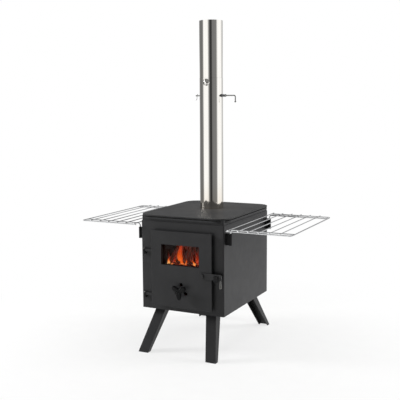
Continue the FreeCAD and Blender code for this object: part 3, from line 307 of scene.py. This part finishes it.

# %% [markdown]
# ## Finishes on the frame
# Each solid carries the name of its material slot in the part's record. A table from slot to finish dresses
# all of them at once. The hob takes its own greyed paint. The small sockets and the keeper take a blacker and
# duller copy of the paint, which is painted shade for the shadow they sit in. The drop handle of the latch is bare
# steel.

# %% Dress the solids
finish_of = {
    "black_steel": paint, "polished_flue": flue_steel, "inner_stainless": sooted, "bright_steel": zinc,
    "rack_chrome": chrome, "grate_iron": cast_iron, "raw_steel": scaled_steel, "ceramic_glass": glass,
    "seal_fibre": fibre, "knob_plastic": thermoset,
}
for name, solid in nodes.items():
    solid.material_slots[0].material = finish_of[slot_of[name]]
nodes["hob_plate"].material_slots[0].material = hob_paint
nodes["latch_handle"].material_slots[0].material = bare_steel
# Painted shade: the sockets and the keeper take the blacker copy of the paint.
for name in nodes:
    if name.endswith("_socket") or name == "latch_keeper":
        nodes[name].material_slots[0].material = painted_shade_paint
print("dressed", len(nodes), "solids")

# %% [markdown]
# ## Tools for surfaces
# A new piece is a grid of points: one parameter runs along it and the other round it. The points are worked
# out as whole arrays, and the faces only join each point to its neighbours. The signed volume tells whether
# the faces point outwards, and if it comes out negative every face is turned over.


# %% Grid surfaces
def joined(columns, rows, closed_along=False):
    """Quads between neighbours of a grid that closes along its second index, and along its first if asked."""
    i, j = np.meshgrid(np.arange(columns if closed_along else columns - 1), np.arange(rows), indexing="ij")
    i2, j2 = (i + 1) % columns, (j + 1) % rows
    return np.stack([i * rows + j, i2 * rows + j, i2 * rows + j2, i * rows + j2], axis=-1).reshape(-1, 4)


def outward(points, faces):
    """Turns the faces over if the volume, the sum of p0 . (p1 x p2) / 6 over the triangles, is negative."""
    p = points[faces]
    halves = np.concatenate([p[:, [0, 1, 2]], p[:, [0, 2, 3]]])
    volume = np.einsum("ij,ij->i", halves[:, 0], np.cross(halves[:, 1], halves[:, 2])).sum() / 6
    return faces if volume > 0 else faces[:, ::-1]


def piece(name, grids, finish, body, stands_for=(), smooth_degrees=40):
    """Makes one mesh object from closed grids, each an array of points and whether it closes along."""
    points, faces, start = [], [], 0
    for grid, closed_along in grids:
        columns, rows = grid.shape[:2]
        flat = grid.reshape(-1, 3)
        points.append(flat)
        faces.append(outward(flat - flat.mean(0), joined(columns, rows, closed_along)) + start)
        start += len(flat)
    mesh = bpy.data.meshes.new(name)
    mesh.from_pydata(np.concatenate(points).tolist(), [], np.concatenate(faces).tolist())
    mesh.polygons.foreach_set("use_smooth", np.ones(len(mesh.polygons), bool))
    mesh.set_sharp_from_angle(angle=math.radians(smooth_degrees))
    mesh.materials.append(finish)
    made = bpy.data.objects.new(name, mesh)
    bpy.context.scene.collection.objects.link(made)
    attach(made, body)
    if stands_for:
        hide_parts(*stands_for)
    print(name, len(mesh.polygons), "faces on", body)
    return made


def tube(path, radius, across, sides=20):
    """A tube: path(i) + radius(i, j) (cos a e1 + sin a e2), where e1 is across made square to the path."""
    along = np.gradient(path, axis=0)
    along /= np.linalg.norm(along, axis=1, keepdims=True)
    first = across - (along @ across)[:, None] * along
    first /= np.linalg.norm(first, axis=1, keepdims=True)
    second = np.cross(along, first)
    angle = np.arange(sides) * 2 * np.pi / sides
    radius = np.reshape(radius, (-1, 1)) if np.ndim(radius) == 1 else radius
    size = np.broadcast_to(radius, (len(path), sides))
    ring = np.cos(angle)[None, :, None] * first[:, None] + np.sin(angle)[None, :, None] * second[:, None]
    return path[:, None] + size[:, :, None] * ring


print("a grid of 3 by 4 points has", len(joined(3, 4)), "quads")

# %% [markdown]
# ## Damper spring
# A short coil spring presses the damper's collar away from the flue, so that the disc stays where it is
# turned. A coil is a circle that moves along its axis as it goes round, which is one line of arithmetic,
# and a thin tube follows it. Its wire is ground flat at neither end, so plain ends are right.

# %% Wind the spring
low, high = (np.array(corner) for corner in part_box("damper_spring"))
WIRE = 0.0014
TURNS = 5
middle = (low + high) / 2
coil_radius = (high[2] - low[2] - WIRE) / 2
t = np.linspace(0, 1, 60 * TURNS + 1)
turned = 2 * np.pi * TURNS * t
helix = np.stack([low[0] + WIRE / 2 + (high[0] - low[0] - WIRE) * t,
                  middle[1] + coil_radius * np.cos(turned), middle[2] + coil_radius * np.sin(turned)], axis=1)
taper = np.where((t == 0) | (t == 1), 0.0, WIRE / 2)
coil = tube(helix, taper, np.array([1.0, 0, 0]), 12)
piece("wound_spring", [(coil, False)], zinc, "damper", ["damper_spring"])

# %% [markdown]
# ## Rope seal and glass tape
# The door closes on a rope of braided glass fibre that lies in a channel, and a flat tape of the same fibre
# keeps the glass off the steel. A braid is two sets of strands that wind opposite ways, so the rope's
# radius rises where a strand of either set passes: the product of two cosines gives that diamond pattern.
# The tape is a band between two rectangles with rounded edges.


# %% Lay the rope
def rounded_loop(half_x, half_z, corner, step):
    """Points round a rectangle with round corners, at even steps of arc length, as x and z offsets."""
    bend = np.linspace(0, np.pi / 2, 9)
    centres = [(half_x - corner, half_z - corner, 0), (corner - half_x, half_z - corner, 1),
               (corner - half_x, corner - half_z, 2), (half_x - corner, corner - half_z, 3)]
    outline = np.concatenate([np.stack([x + corner * np.cos(bend + quarter * np.pi / 2),
                                        z + corner * np.sin(bend + quarter * np.pi / 2)], 1)
                              for x, z, quarter in centres])
    closed = np.vstack([outline, outline[:1]])
    length = np.concatenate([[0], np.cumsum(np.linalg.norm(np.diff(closed, axis=0), axis=1))])
    even = np.linspace(0, length[-1], int(length[-1] / step), endpoint=False)
    points = np.stack([np.interp(even, length, closed[:, 0]), np.interp(even, length, closed[:, 1])], 1)
    return points, length[-1]


ROPE_BEND = 0.0046
ROPE_STEP = 0.0016
SIDES = 24
STRANDS = 4
LAY = 0.016
BRAID_DEPTH_SHARE = 0.06
ROPE_SIZE_SHARE = 0.93
low, high = (np.array(corner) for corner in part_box("door_seal"))
rope_radius = (high[1] - low[1]) / 2
half = (high - low) / 2 - rope_radius
middle = (low + high) / 2
loop, around = rounded_loop(half[0], half[2], ROPE_BEND, ROPE_STEP)
rope = np.stack([middle[0] + loop[:, 0], np.full(len(loop), middle[1]), middle[2] + loop[:, 1]], 1)
along = np.gradient(np.vstack([rope[-1:], rope, rope[:1]]), axis=0)[1:-1]
along /= np.linalg.norm(along, axis=1, keepdims=True)
angle = np.arange(SIDES) * 2 * np.pi / SIDES
turns = np.round(around / LAY) * 2 * np.pi * np.arange(len(rope)) / len(rope)
braid = np.cos(STRANDS * angle + turns[:, None]) * np.cos(STRANDS * angle - turns[:, None])
size = rope_radius * (ROPE_SIZE_SHARE + BRAID_DEPTH_SHARE * braid)
out = np.cross(along, [0.0, 1.0, 0.0])
ring = np.cos(angle)[None, :, None] * np.array([0.0, 1.0, 0.0]) + np.sin(angle)[None, :, None] * out[:, None]
piece("braided_rope_seal", [(rope[:, None] + size[:, :, None] * ring, True)], fibre, "door",
      ["door_seal"], 180)

# %% Lay the glass tape
TAPE_WIDTH = 0.0095
TAPE_BEND = 0.001
TAPE_STEP = 0.003
TAPE_SIDES = 16
SQUARENESS = 0.4
low, high = (np.array(corner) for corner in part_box("glass_gasket"))
middle = (low + high) / 2
half = (high - low) / 2
outer, _ = rounded_loop(half[0], half[2], TAPE_BEND, TAPE_STEP)
v = np.arange(TAPE_SIDES) * 2 * np.pi / TAPE_SIDES
edge = np.sign(np.cos(v)) * np.abs(np.cos(v)) ** SQUARENESS
face = np.sign(np.sin(v)) * np.abs(np.sin(v)) ** SQUARENESS
inner_share = 1 - TAPE_WIDTH / half[[0, 2]]
share = inner_share + (1 - inner_share) * (edge[:, None] + 1) / 2
tape = np.stack([middle[0] + outer[:, None, 0] * share[None, :, 0],
                 np.broadcast_to(middle[1] + half[1] * face, (len(outer), TAPE_SIDES)),
                 middle[2] + outer[:, None, 1] * share[None, :, 1]], -1)
piece("fibre_glass_tape", [(tape, True)], fibre, "door", ["glass_gasket"], 60)

# %% [markdown]
# ## Star knob
# The air control is turned with a moulded knob that has three arms, so that it can be gripped with a glove.
# Its outline is a circle that swells three times on the way round, and its section is a pillow: the outline
# shrinks to a point at the front and at the back along a rounded curve. One arm points down.

# %% Mould the knob
low, high = (np.array(corner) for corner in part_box("air_knob"))
centre = next(joint["pos_m"] for joint in frame["joints"] if joint["name"] == "air_turn")
reach = centre[2] - low[2]
HUB = 0.0135
ARMS = 3
WAIST = 1.5
SPREAD_POWER = 0.6
DEPTH_POWER = 0.9
ARM_DROP_SHARE = 0.16
phi = np.arange(120) * 2 * np.pi / 120
arm = ((1 + np.cos(ARMS * (phi + np.pi / 2))) / 2) ** WAIST
outline = HUB + (reach - HUB) * arm
s = np.linspace(0, np.pi, 33)
spread = np.sin(s) ** SPREAD_POWER
middle_y = (low[1] + high[1]) / 2
depth = middle_y - (high[1] - low[1]) / 2 * np.sign(np.cos(s)) * np.abs(np.cos(s)) ** DEPTH_POWER
crown = 1 - ARM_DROP_SHARE * arm[None, :] * (np.cos(s)[:, None] > 0) * np.cos(s)[:, None]
knob = np.stack([centre[0] + spread[:, None] * outline * np.cos(phi),
                 middle_y + (depth[:, None] - middle_y) * crown,
                 centre[2] + spread[:, None] * outline * np.sin(phi)], -1)
piece("star_knob", [(knob, False)], thermoset, "air_control", ["air_knob"], 180)

# %% [markdown]
# ## Logs and embers
# A lit stove is dark wood, glowing cracks and flame. Kindling is leant together on the grate with its ends
# up, so that the fire can climb it. A split stick is a rough tube whose round side is bark and whose other
# side is cut flat, so its radius is the smaller of the round and the flat outline, with ridges along the
# grain. The embers are a low heap on the grate. All of the fire stands on the grate.

# %% Charred wood
CRACK_MM = 11
CHAR_MM = 30
CRACK_DEPTH = 0.003
ALONG_GRAIN = 0.25
charred, tree, place = new_finish("charred_split_birch")
grain = add(tree, "Mapping", {"Scale": (1.0, 1.0, ALONG_GRAIN)}, {"Vector": place})["Vector"]
crack = add(tree, "TexVoronoi", {"Scale": cells_of(CRACK_MM)}, {"Vector": grain},
            feature="DISTANCE_TO_EDGE")["Distance"]
cloud = add(tree, "TexNoise", {"Scale": cells_of(CHAR_MM), "Detail": 4.0}, {"Vector": grain})[0]
colour = add(tree, "ValToRGB", links={"Fac": cloud},
             stops=[(0.35, "#281816"), (0.55, "#573a37"), (0.75, "#7d625c")])
glow = add(tree, "MapRange", {"From Min": 0.0, "From Max": 0.08, "To Min": 0.32, "To Max": 0.0},
           {"Value": crack})["Result"]
heat = add(tree, "Math", links={0: glow, 1: cloud}, operation="MULTIPLY")[0]
bump = add(tree, "Bump", {"Strength": 0.9, "Distance": CRACK_DEPTH}, {"Height": crack})["Normal"]
show(tree, add(tree, "BsdfPrincipled", {"Roughness": 0.9, "Emission Color": linear("#ff4a20")},
               {"Base Color": colour["Color"], "Normal": bump, "Emission Strength": heat})["BSDF"])
print("finish", charred.name)

# %% Glowing embers
LUMP_MM = 16
LUMP_DEPTH = 0.004
embers, tree, place = new_finish("glowing_embers")
lump = add(tree, "TexVoronoi", {"Scale": cells_of(LUMP_MM)}, {"Vector": place}, feature="F1")["Distance"]
hot = add(tree, "ValToRGB", links={"Fac": lump},
          stops=[(0.05, "#ffb45a"), (0.15, "#e2480e"), (0.32, "#5a1204"), (0.6, "#140806")])["Color"]
bump = add(tree, "Bump", {"Strength": 1.0, "Distance": LUMP_DEPTH}, {"Height": lump})["Normal"]
show(tree, add(tree, "BsdfPrincipled",
               {"Base Color": linear("#1c120d"), "Roughness": 0.95, "Emission Strength": 1.0},
               {"Emission Color": hot, "Normal": bump})["BSDF"])
print("finish", embers.name)

# %% Shape a split stick
STICK_SIDES = 48
END_SHARE = 0.012
END_STEP_SHARE = 0.004
FLAT_SHARE = 0.55
FLAT_LIMIT = 0.2
NO_FLAT = 9.0
RIDGES = (5, 9, 14)
RIDGE_SHARE = 0.035
ANY_TURN = 6.3


def split_stick(foot, top, radius, flat_turn, seed):
    """r = min(radius, 0.55 radius / cos(a - flat_turn)) with ridges; the ends shrink to a point."""
    chance = np.random.default_rng(seed)
    middle = np.linspace(END_SHARE, 1 - END_SHARE, 40)
    t = np.concatenate([[0, END_STEP_SHARE], middle, [1 - END_STEP_SHARE, 1]])
    a = np.arange(STICK_SIDES) * 2 * np.pi / STICK_SIDES
    facing = np.cos(a - flat_turn)
    flat = np.where(facing > FLAT_LIMIT, FLAT_SHARE / np.maximum(facing, FLAT_LIMIT), NO_FLAT)
    ridge = sum(RIDGE_SHARE * np.sin(k * a + chance.uniform(0, ANY_TURN)
                                     + 3 * np.sin(4 * t[:, None] + chance.uniform(0, ANY_TURN)))
                for k in RIDGES)
    waver = 0.04 * np.sin(7 * t[:, None] + chance.uniform(0, ANY_TURN))
    shape = radius * (np.minimum(1.0, flat) + ridge * 0.8 + waver)
    ends = np.minimum(1, np.minimum(t, 1 - t) / END_SHARE)[:, None] ** 0.5
    path = np.asarray(foot) + t[:, None] * (np.asarray(top) - np.asarray(foot))
    return tube(path, shape * ends, np.array([1.0, 0.0, 0.0]), STICK_SIDES)


print("a stick has", split_stick((0, 0, 0), (0, 0, 0.1), 0.01, 0, 0).shape[:2], "points")

# %% Stack the sticks
STICK_STEP = 0.036
STICK_LEAN = 0.050
STICK_LIFT = 0.010
FRONT_ROW = -0.015
BACK_ROW = 0.020
TOP_SHARE = 0.55
TOP_SHIFT = 0.012
SHORT = 0.115
TALL = 0.150
THIN = 0.012
THICK = 0.017
grate_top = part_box("fire_grate")[1][2]
chance = np.random.default_rng(7)
stick_x = np.arange(-4, 5) * STICK_STEP
rows = [(x, FRONT_ROW, 1) for x in stick_x] + [(x, BACK_ROW, -1) for x in stick_x]
sticks = [split_stick((x, y - STICK_LEAN * side, grate_top + STICK_LIFT),
                      (TOP_SHARE * x + chance.uniform(-TOP_SHIFT, TOP_SHIFT), y,
                       grate_top + chance.uniform(SHORT, TALL)),
                      chance.uniform(THIN, THICK), chance.uniform(0, ANY_TURN), seed)
          for seed, (x, y, side) in enumerate(rows)]
piece("split_sticks", [(stick, False) for stick in sticks], charred, "stove", (), 60)

# %% Heap the embers
HEAP_LENGTH = 0.300
HEAP_HALF_WIDTH = 0.120
HEAP_MIDDLE = -0.055
HEAP_RISE = 0.016
LUMP_RISE = 0.005
HEAP_END_SHARE = 0.08
HEAP_GAP = 0.0003
t = np.linspace(0, 1, 61)
v = np.arange(72) * 2 * np.pi / 72
across = np.clip(1.25 * np.cos(v), -1, 1)
topside = np.sin(v) > 0
heap_x = -HEAP_LENGTH / 2 + HEAP_LENGTH * t
ends = np.minimum(1, np.minimum(t, 1 - t) / HEAP_END_SHARE)[:, None] ** 0.5
bumps = (np.sin(70 * heap_x[:, None] + 5 * across) * np.sin(9 * across + 40 * heap_x[:, None])
         + 0.5 * np.sin(160 * heap_x[:, None] + 17 * across))
rise = np.where(topside, (HEAP_RISE + LUMP_RISE * bumps) * np.maximum(1 - across ** 4, 0.05), 0.0) * ends
heap = np.stack([np.broadcast_to(heap_x[:, None], rise.shape), HEAP_MIDDLE + HEAP_HALF_WIDTH * across * ends,
                 grate_top + HEAP_GAP + rise], -1)
piece("ember_heap", [(heap, False)], embers, "stove", (), 180)

# %% [markdown]
# ## Flames
# A flame is glowing gas with no surface, but a thin tongue that fades towards its tip reads as one from
# every side. Each tongue is a flattened tube that narrows to a point and sways as it rises. A UV map
# carries its height and how cool it burns, and a second one how near its rim a point lies. The height and
# the rim fade it out, and height and coolness drive the colour from pale yellow through orange to a deep
# red. A few hot tongues stand in front of the sticks, and cool thin ones between them.

# %% Burning gas
WISP_MM = 20
WISP_STRETCH = 0.3
flame, tree, place = new_finish("burning_wood_gas")
height = add(tree, "SeparateXYZ", links={"Vector": add(tree, "UVMap", uv_map="rise")["UV"]})
drawn = add(tree, "Mapping", {"Scale": (1.0, 1.0, WISP_STRETCH)}, {"Vector": place})["Vector"]
wisp = add(tree, "TexNoise", {"Scale": cells_of(WISP_MM), "Detail": 3.0}, {"Vector": drawn})[0]
waver = add(tree, "MapRange", {"To Min": -0.25, "To Max": 0.25}, {"Value": wisp})["Result"]
risen = add(tree, "Math", links={0: height["X"], 1: waver}, operation="ADD")[0]
warm = add(tree, "Math", {1: 0.6}, {0: risen, 2: height["Y"]}, operation="MULTIPLY_ADD")[0]
colour = add(tree, "ValToRGB", links={"Fac": warm},
             stops=[(0.0, "#ffe6b0"), (0.16, "#ffb565"), (0.36, "#fb6c1e"),
                    (0.6, "#c83a0e"), (0.8, "#7a1a08"), (1.0, "#3a0a06")])
faint = add(tree, "Math", {1: -0.55, 2: 1.0}, {0: height["Y"]}, operation="MULTIPLY_ADD")[0]
solid = add(tree, "ValToRGB", links={"Fac": risen}, stops=[(0.0, 0.95), (0.5, 0.8), (0.95, 0.0)])["Color"]
rim = add(tree, "SeparateXYZ", links={"Vector": add(tree, "UVMap", uv_map="rim")["UV"]})["X"]
inner = add(tree, "MapRange", {"From Min": 0.35, "From Max": 1.0, "To Min": 1.0, "To Max": 0.15},
            {"Value": rim}, interpolation_type="SMOOTHSTEP")["Result"]
body = add(tree, "Math", links={0: solid, 1: faint}, operation="MULTIPLY")[0]
shown = add(tree, "Math", links={0: body, 1: inner}, operation="MULTIPLY")[0]
show(tree, add(tree, "BsdfPrincipled",
               {"Base Color": (0.0, 0.0, 0.0, 1.0), "Specular IOR Level": 0.0, "Emission Strength": 1.0},
               {"Emission Color": colour["Color"], "Alpha": shown})["BSDF"])
print("finish", flame.name)

# %% Shape a tongue of flame
FLAME_STEPS = 28
FLAME_SIDES = 20
DEPTH_SHARE = 0.33
FLICKER = 0.02


def tongue(foot, tall, wide, sway, seed):
    """A tube about a swaying line, width wide (1 - u)^0.7 (0.4 + sin(pi u^0.6)) and a third as deep."""
    phase = np.random.default_rng(seed).uniform(0, ANY_TURN)
    u = np.linspace(0, 1, FLAME_STEPS)
    v = np.arange(FLAME_SIDES) * 2 * np.pi / FLAME_SIDES
    width = wide / 2 * (1 - u) ** 0.7 * (0.4 + np.sin(np.pi * u ** 0.6)) / 1.3 * (u > 0)
    line_x = foot[0] + sway * u * tall + 0.10 * wide * np.sin(7 * u + phase) * u
    flicker = FLICKER * np.sin(5 * u + phase)[:, None] * u[:, None]
    return np.stack([line_x[:, None] + width[:, None] * np.cos(v),
                     foot[1] + DEPTH_SHARE * width[:, None] * np.sin(v) + flicker,
                     np.broadcast_to((foot[2] + tall * u)[:, None], (FLAME_STEPS, FLAME_SIDES))], -1)


print("a tongue has", tongue((0, 0, 0), 0.1, 0.03, 0, 0).shape[:2], "points")

# %% Raise the flames
# Foot, height, width, sway and coolness of each tongue, in metres and shares
FLAMES = [
    ((-0.078, -0.100, 0.026), 0.105, 0.034, -0.04, 0.30),
    ((-0.058, -0.104, 0.006), 0.050, 0.022, -0.40, 0.10),
    ((-0.140, -0.100, 0.006), 0.046, 0.018, 0.40, 0.00), ((-0.016, -0.100, 0.004), 0.044, 0.017, 0.10, 0.02),
    ((-0.051, -0.106, 0.012), 0.040, 0.008, 0.02, 0.15), ((-0.116, -0.110, 0.008), 0.013, 0.026, 0.0, 0.02),
    ((-0.096, -0.112, 0.008), 0.012, 0.026, 0.0, 0.05), ((-0.074, -0.110, 0.008), 0.016, 0.022, 0.0, 0.00),
    ((-0.150, -0.070, 0.010), 0.080, 0.014, 0.10, 0.62), ((-0.122, -0.075, 0.010), 0.085, 0.016, 0.05, 0.60),
    ((-0.034, -0.075, 0.010), 0.080, 0.012, 0.05, 0.62), ((-0.006, -0.085, 0.020), 0.085, 0.022, -0.05, 0.55),
    ((0.030, -0.080, 0.010), 0.070, 0.026, 0.05, 0.20), ((0.075, -0.070, 0.010), 0.085, 0.034, -0.10, 0.25),
    ((0.115, -0.060, 0.008), 0.060, 0.024, -0.15, 0.10), ((-0.040, 0.080, 0.010), 0.080, 0.034, 0.05, 0.25),
    ((0.060, 0.085, 0.008), 0.060, 0.026, -0.10, 0.15),
]
tongues = [tongue((x, y, grate_top + z), tall, wide, sway, seed)
           for seed, ((x, y, z), tall, wide, sway, _) in enumerate(FLAMES)]
fire = piece("flames", [(grid, False) for grid in tongues], flame, "stove", (), 180)
rise = np.tile(np.repeat(np.linspace(0, 1, FLAME_STEPS), FLAME_SIDES), len(FLAMES))
cool = np.repeat([row[4] for row in FLAMES], FLAME_STEPS * FLAME_SIDES)
rim = np.tile(np.abs(np.cos(np.arange(FLAME_SIDES) * 2 * np.pi / FLAME_SIDES)), FLAME_STEPS * len(FLAMES))
corner = np.zeros(len(fire.data.loops), np.int64)
fire.data.loops.foreach_get("vertex_index", corner)
for name, across, upward in (("rise", rise, cool), ("rim", rim, rim)):
    uv = fire.data.uv_layers.new(name=name)
    uv.data.foreach_set("uv", np.stack([across[corner], upward[corner]], 1).astype(np.float32).ravel())
print(len(FLAMES), "tongues with", len(fire.data.uv_layers), "UV maps")

# %% [markdown]
# ## Floor, room and light
# The stove stands on pale paper that fades into a white background. Polished metal shows the room, so the
# room is a low strip of bright and dark wall: a white screen to the left and one to the right, a dark gap
# behind the camera and grey beyond. The strip is a colour ramp round the compass, and above it the room is
# a dim grey. One small bright spot, high on the left, puts highlights on round edges. The camera sees plain
# white instead of the room, and so does glass, while metal shows that white where it mirrors the background
# behind the stove. Three soft lamps carry most of the light and are left out of reflections.


# %% Floor
def looked_at(tree, *kinds):
    """1 for a ray of any of the kinds, which sees the background, and 0 for the rays that carry light."""
    ray = add(tree, "LightPath")
    any_of = ray[f"Is {kinds[0]} Ray"]
    for kind in kinds[1:]:
        any_of = add(tree, "Math", links={0: any_of, 1: ray[f"Is {kind} Ray"]}, operation="MAXIMUM")[0]
    return any_of


FLOOR_RADIUS = 1.6
FLOOR_SIDES = 64
FADE_FROM = 0.45
FADE_TO = 1.3
WHITE_NEAR = 0.72
PAPER_MM = 60
floor_paper, tree, place = new_finish("matt_white_paper")
fibres = add(tree, "TexNoise", {"Scale": cells_of(PAPER_MM), "Detail": 3.0}, {"Vector": place})[0]
colour = add(tree, "ValToRGB", links={"Fac": fibres}, stops=[(0.3, "#b4b4b3"), (0.7, "#b9b9b8")])["Color"]
matt = add(tree, "BsdfDiffuse", links={"Color": colour})["BSDF"]
reach = add(tree, "VectorMath", links={0: place}, operation="LENGTH")["Value"]
fade = add(tree, "MapRange",
           {"From Min": FADE_FROM, "From Max": FADE_TO, "To Min": WHITE_NEAR, "To Max": 1.0},
           {"Value": reach}, interpolation_type="SMOOTHSTEP")["Result"]
seen = add(tree, "Math", links={0: fade, 1: looked_at(tree, "Camera", "Glossy", "Transmission")},
           operation="MULTIPLY")[0]
white = add(tree, "Emission", {"Color": (1.0, 1.0, 1.0, 1.0), "Strength": 1.0})["Emission"]
show(tree, add(tree, "MixShader", links={0: seen, 1: matt, 2: white})["Shader"])

turn = np.arange(FLOOR_SIDES) * 2 * np.pi / FLOOR_SIDES
rings = np.array([0.0, FLOOR_RADIUS / 2, FLOOR_RADIUS])
disc = np.stack([np.outer(rings, np.cos(turn)), np.outer(rings, np.sin(turn)),
                 np.zeros((3, FLOOR_SIDES))], -1)
mesh = bpy.data.meshes.new("floor")
mesh.from_pydata(disc.reshape(-1, 3).tolist(), [], joined(3, FLOOR_SIDES).tolist())
mesh.materials.append(floor_paper)
floor = bpy.data.objects.new("floor", mesh)
bpy.context.scene.collection.objects.link(floor)
print("floor", 2 * FLOOR_RADIUS, "m across")

# %% Room
STRIP_FULL = 0.12
STRIP_GONE = 0.18
ROOM_GREY = (0.28, 0.28, 0.28, 1.0)
ROOM = [(-180, 0.45), (-150, 0.26), (-108, 0.20), (-88, 0.35), (-79, 1.35), (-36, 1.35), (-24, 0.35),
        (-12, 0.045), (2, 0.045), (10, 0.24), (50, 0.27), (62, 1.2), (68, 1.35), (110, 1.35), (124, 0.75),
        (150, 0.62), (180, 0.45)]
world = bpy.data.worlds.new("room")
bpy.context.scene.world = world
world.use_nodes = True
tree = world.node_tree
tree.nodes.clear()
way = add(tree, "TexCoord")["Generated"]
towards = (float(np.sin(azimuth)), float(-np.cos(azimuth)), 0.0)
facing = add(tree, "VectorMath", {1: towards}, {0: way}, operation="DOT_PRODUCT")["Value"]
sideways = add(tree, "VectorMath", {1: tuple(level.tolist())}, {0: way}, operation="DOT_PRODUCT")["Value"]
compass = add(tree, "Math", links={0: sideways, 1: facing}, operation="ARCTAN2")[0]
share = add(tree, "MapRange", {"From Min": -math.pi, "From Max": math.pi}, {"Value": compass})["Result"]
walls = add(tree, "ValToRGB", links={"Fac": share}, stops=[((a + 180) / 360, v) for a, v in ROOM])["Color"]
lift = add(tree, "SeparateXYZ", links={"Vector": way})["Z"]
strip = add(tree, "MapRange", {"From Min": STRIP_FULL, "From Max": STRIP_GONE, "To Min": 1.0, "To Max": 0.0},
            {"Value": lift}, interpolation_type="SMOOTHSTEP")["Result"]
room = add(tree, "Mix", {6: ROOM_GREY}, {0: strip, 7: walls}, data_type="RGBA")[2]
print("room of", len(ROOM), "wall stops")

# %% Highlight
SPOT_COMPASS = -100.0
SPOT_LIFT = 22.0
SPOT_OUTER = 9
SPOT_INNER = 6
SPOT_LIGHT = (14.0, 14.0, 14.0, 1.0)
compass_left, spot_lift = np.radians([SPOT_COMPASS, SPOT_LIFT])
spot_way = np.cos(spot_lift) * (np.cos(compass_left) * np.array(towards) + np.sin(compass_left) * level)
spot_way[2] = np.sin(spot_lift)
near = add(tree, "VectorMath", {1: tuple(spot_way.tolist())}, {0: way}, operation="DOT_PRODUCT")["Value"]
spot = add(tree, "MapRange",
           {"From Min": math.cos(math.radians(SPOT_OUTER)), "From Max": math.cos(math.radians(SPOT_INNER))},
           {"Value": near}, interpolation_type="SMOOTHSTEP")["Result"]
lit_room = add(tree, "Mix", {7: SPOT_LIGHT}, {0: spot, 6: room}, data_type="RGBA")[2]
print("highlight", 2 * SPOT_OUTER, "degrees across")

# %% White background
BEHIND_FROM = 145
BEHIND_FULL = 165
LEVEL_FULL = 0.03
LEVEL_GONE = 0.09
WHITE = (1.0, 1.0, 1.0, 1.0)
aside = add(tree, "Math", links={0: compass}, operation="ABSOLUTE")[0]
behind = add(tree, "MapRange", {"From Min": math.radians(BEHIND_FROM), "From Max": math.radians(BEHIND_FULL)},
             {"Value": aside}, interpolation_type="SMOOTHSTEP")["Result"]
tilt = add(tree, "Math", links={0: lift}, operation="ABSOLUTE")[0]
flat_on = add(tree, "MapRange",
              {"From Min": LEVEL_FULL, "From Max": LEVEL_GONE, "To Min": 1.0, "To Max": 0.0},
              {"Value": tilt}, interpolation_type="SMOOTHSTEP")["Result"]
mirrored = add(tree, "Math", links={0: behind, 1: flat_on}, operation="MULTIPLY")[0]
mirrored = add(tree, "Math", links={0: mirrored, 1: looked_at(tree, "Glossy")}, operation="MULTIPLY")[0]
backdrop = add(tree, "Math", links={0: mirrored, 1: looked_at(tree, "Camera", "Transmission")},
               operation="MAXIMUM")[0]
seen = add(tree, "Mix", {7: WHITE}, {0: backdrop, 6: lit_room}, data_type="RGBA")[2]
light = add(tree, "Background", {"Strength": 1.0}, {"Color": seen})["Background"]
add(tree, "OutputWorld", links={"Surface": light})
print("white background for the camera, glass and mirrors")

# %% Soft lamps
# Place, point it faces, width in metres and power in watts of each lamp
SOFTBOXES = {
    "overhead_softbox": ((0.3, 0.3, 2.9), (0.0, 0.0, 0.5), 1.8, 57.0),
    "left_softbox": ((-2.2, -0.95, 1.3), (0.0, -0.2, 0.45), 0.8, 92.0),
    "right_softbox": ((2.2, 1.2, 1.3), (0.2, 0.0, 0.4), 1.2, 85.0),
}
for name, (place, aim, size, watts) in SOFTBOXES.items():
    lamp_data = bpy.data.lights.new(name, "AREA")
    lamp_data.shape = "DISK"
    lamp_data.size = size
    lamp_data.energy = watts
    lamp = bpy.data.objects.new(name, lamp_data)
    lamp.location = place
    lamp.rotation_euler = (Vector(aim) - Vector(place)).to_track_quat("-Z", "Y").to_euler()
    lamp.visible_glossy = False
    bpy.context.scene.collection.objects.link(lamp)
print(len(SOFTBOXES), "soft lamps")
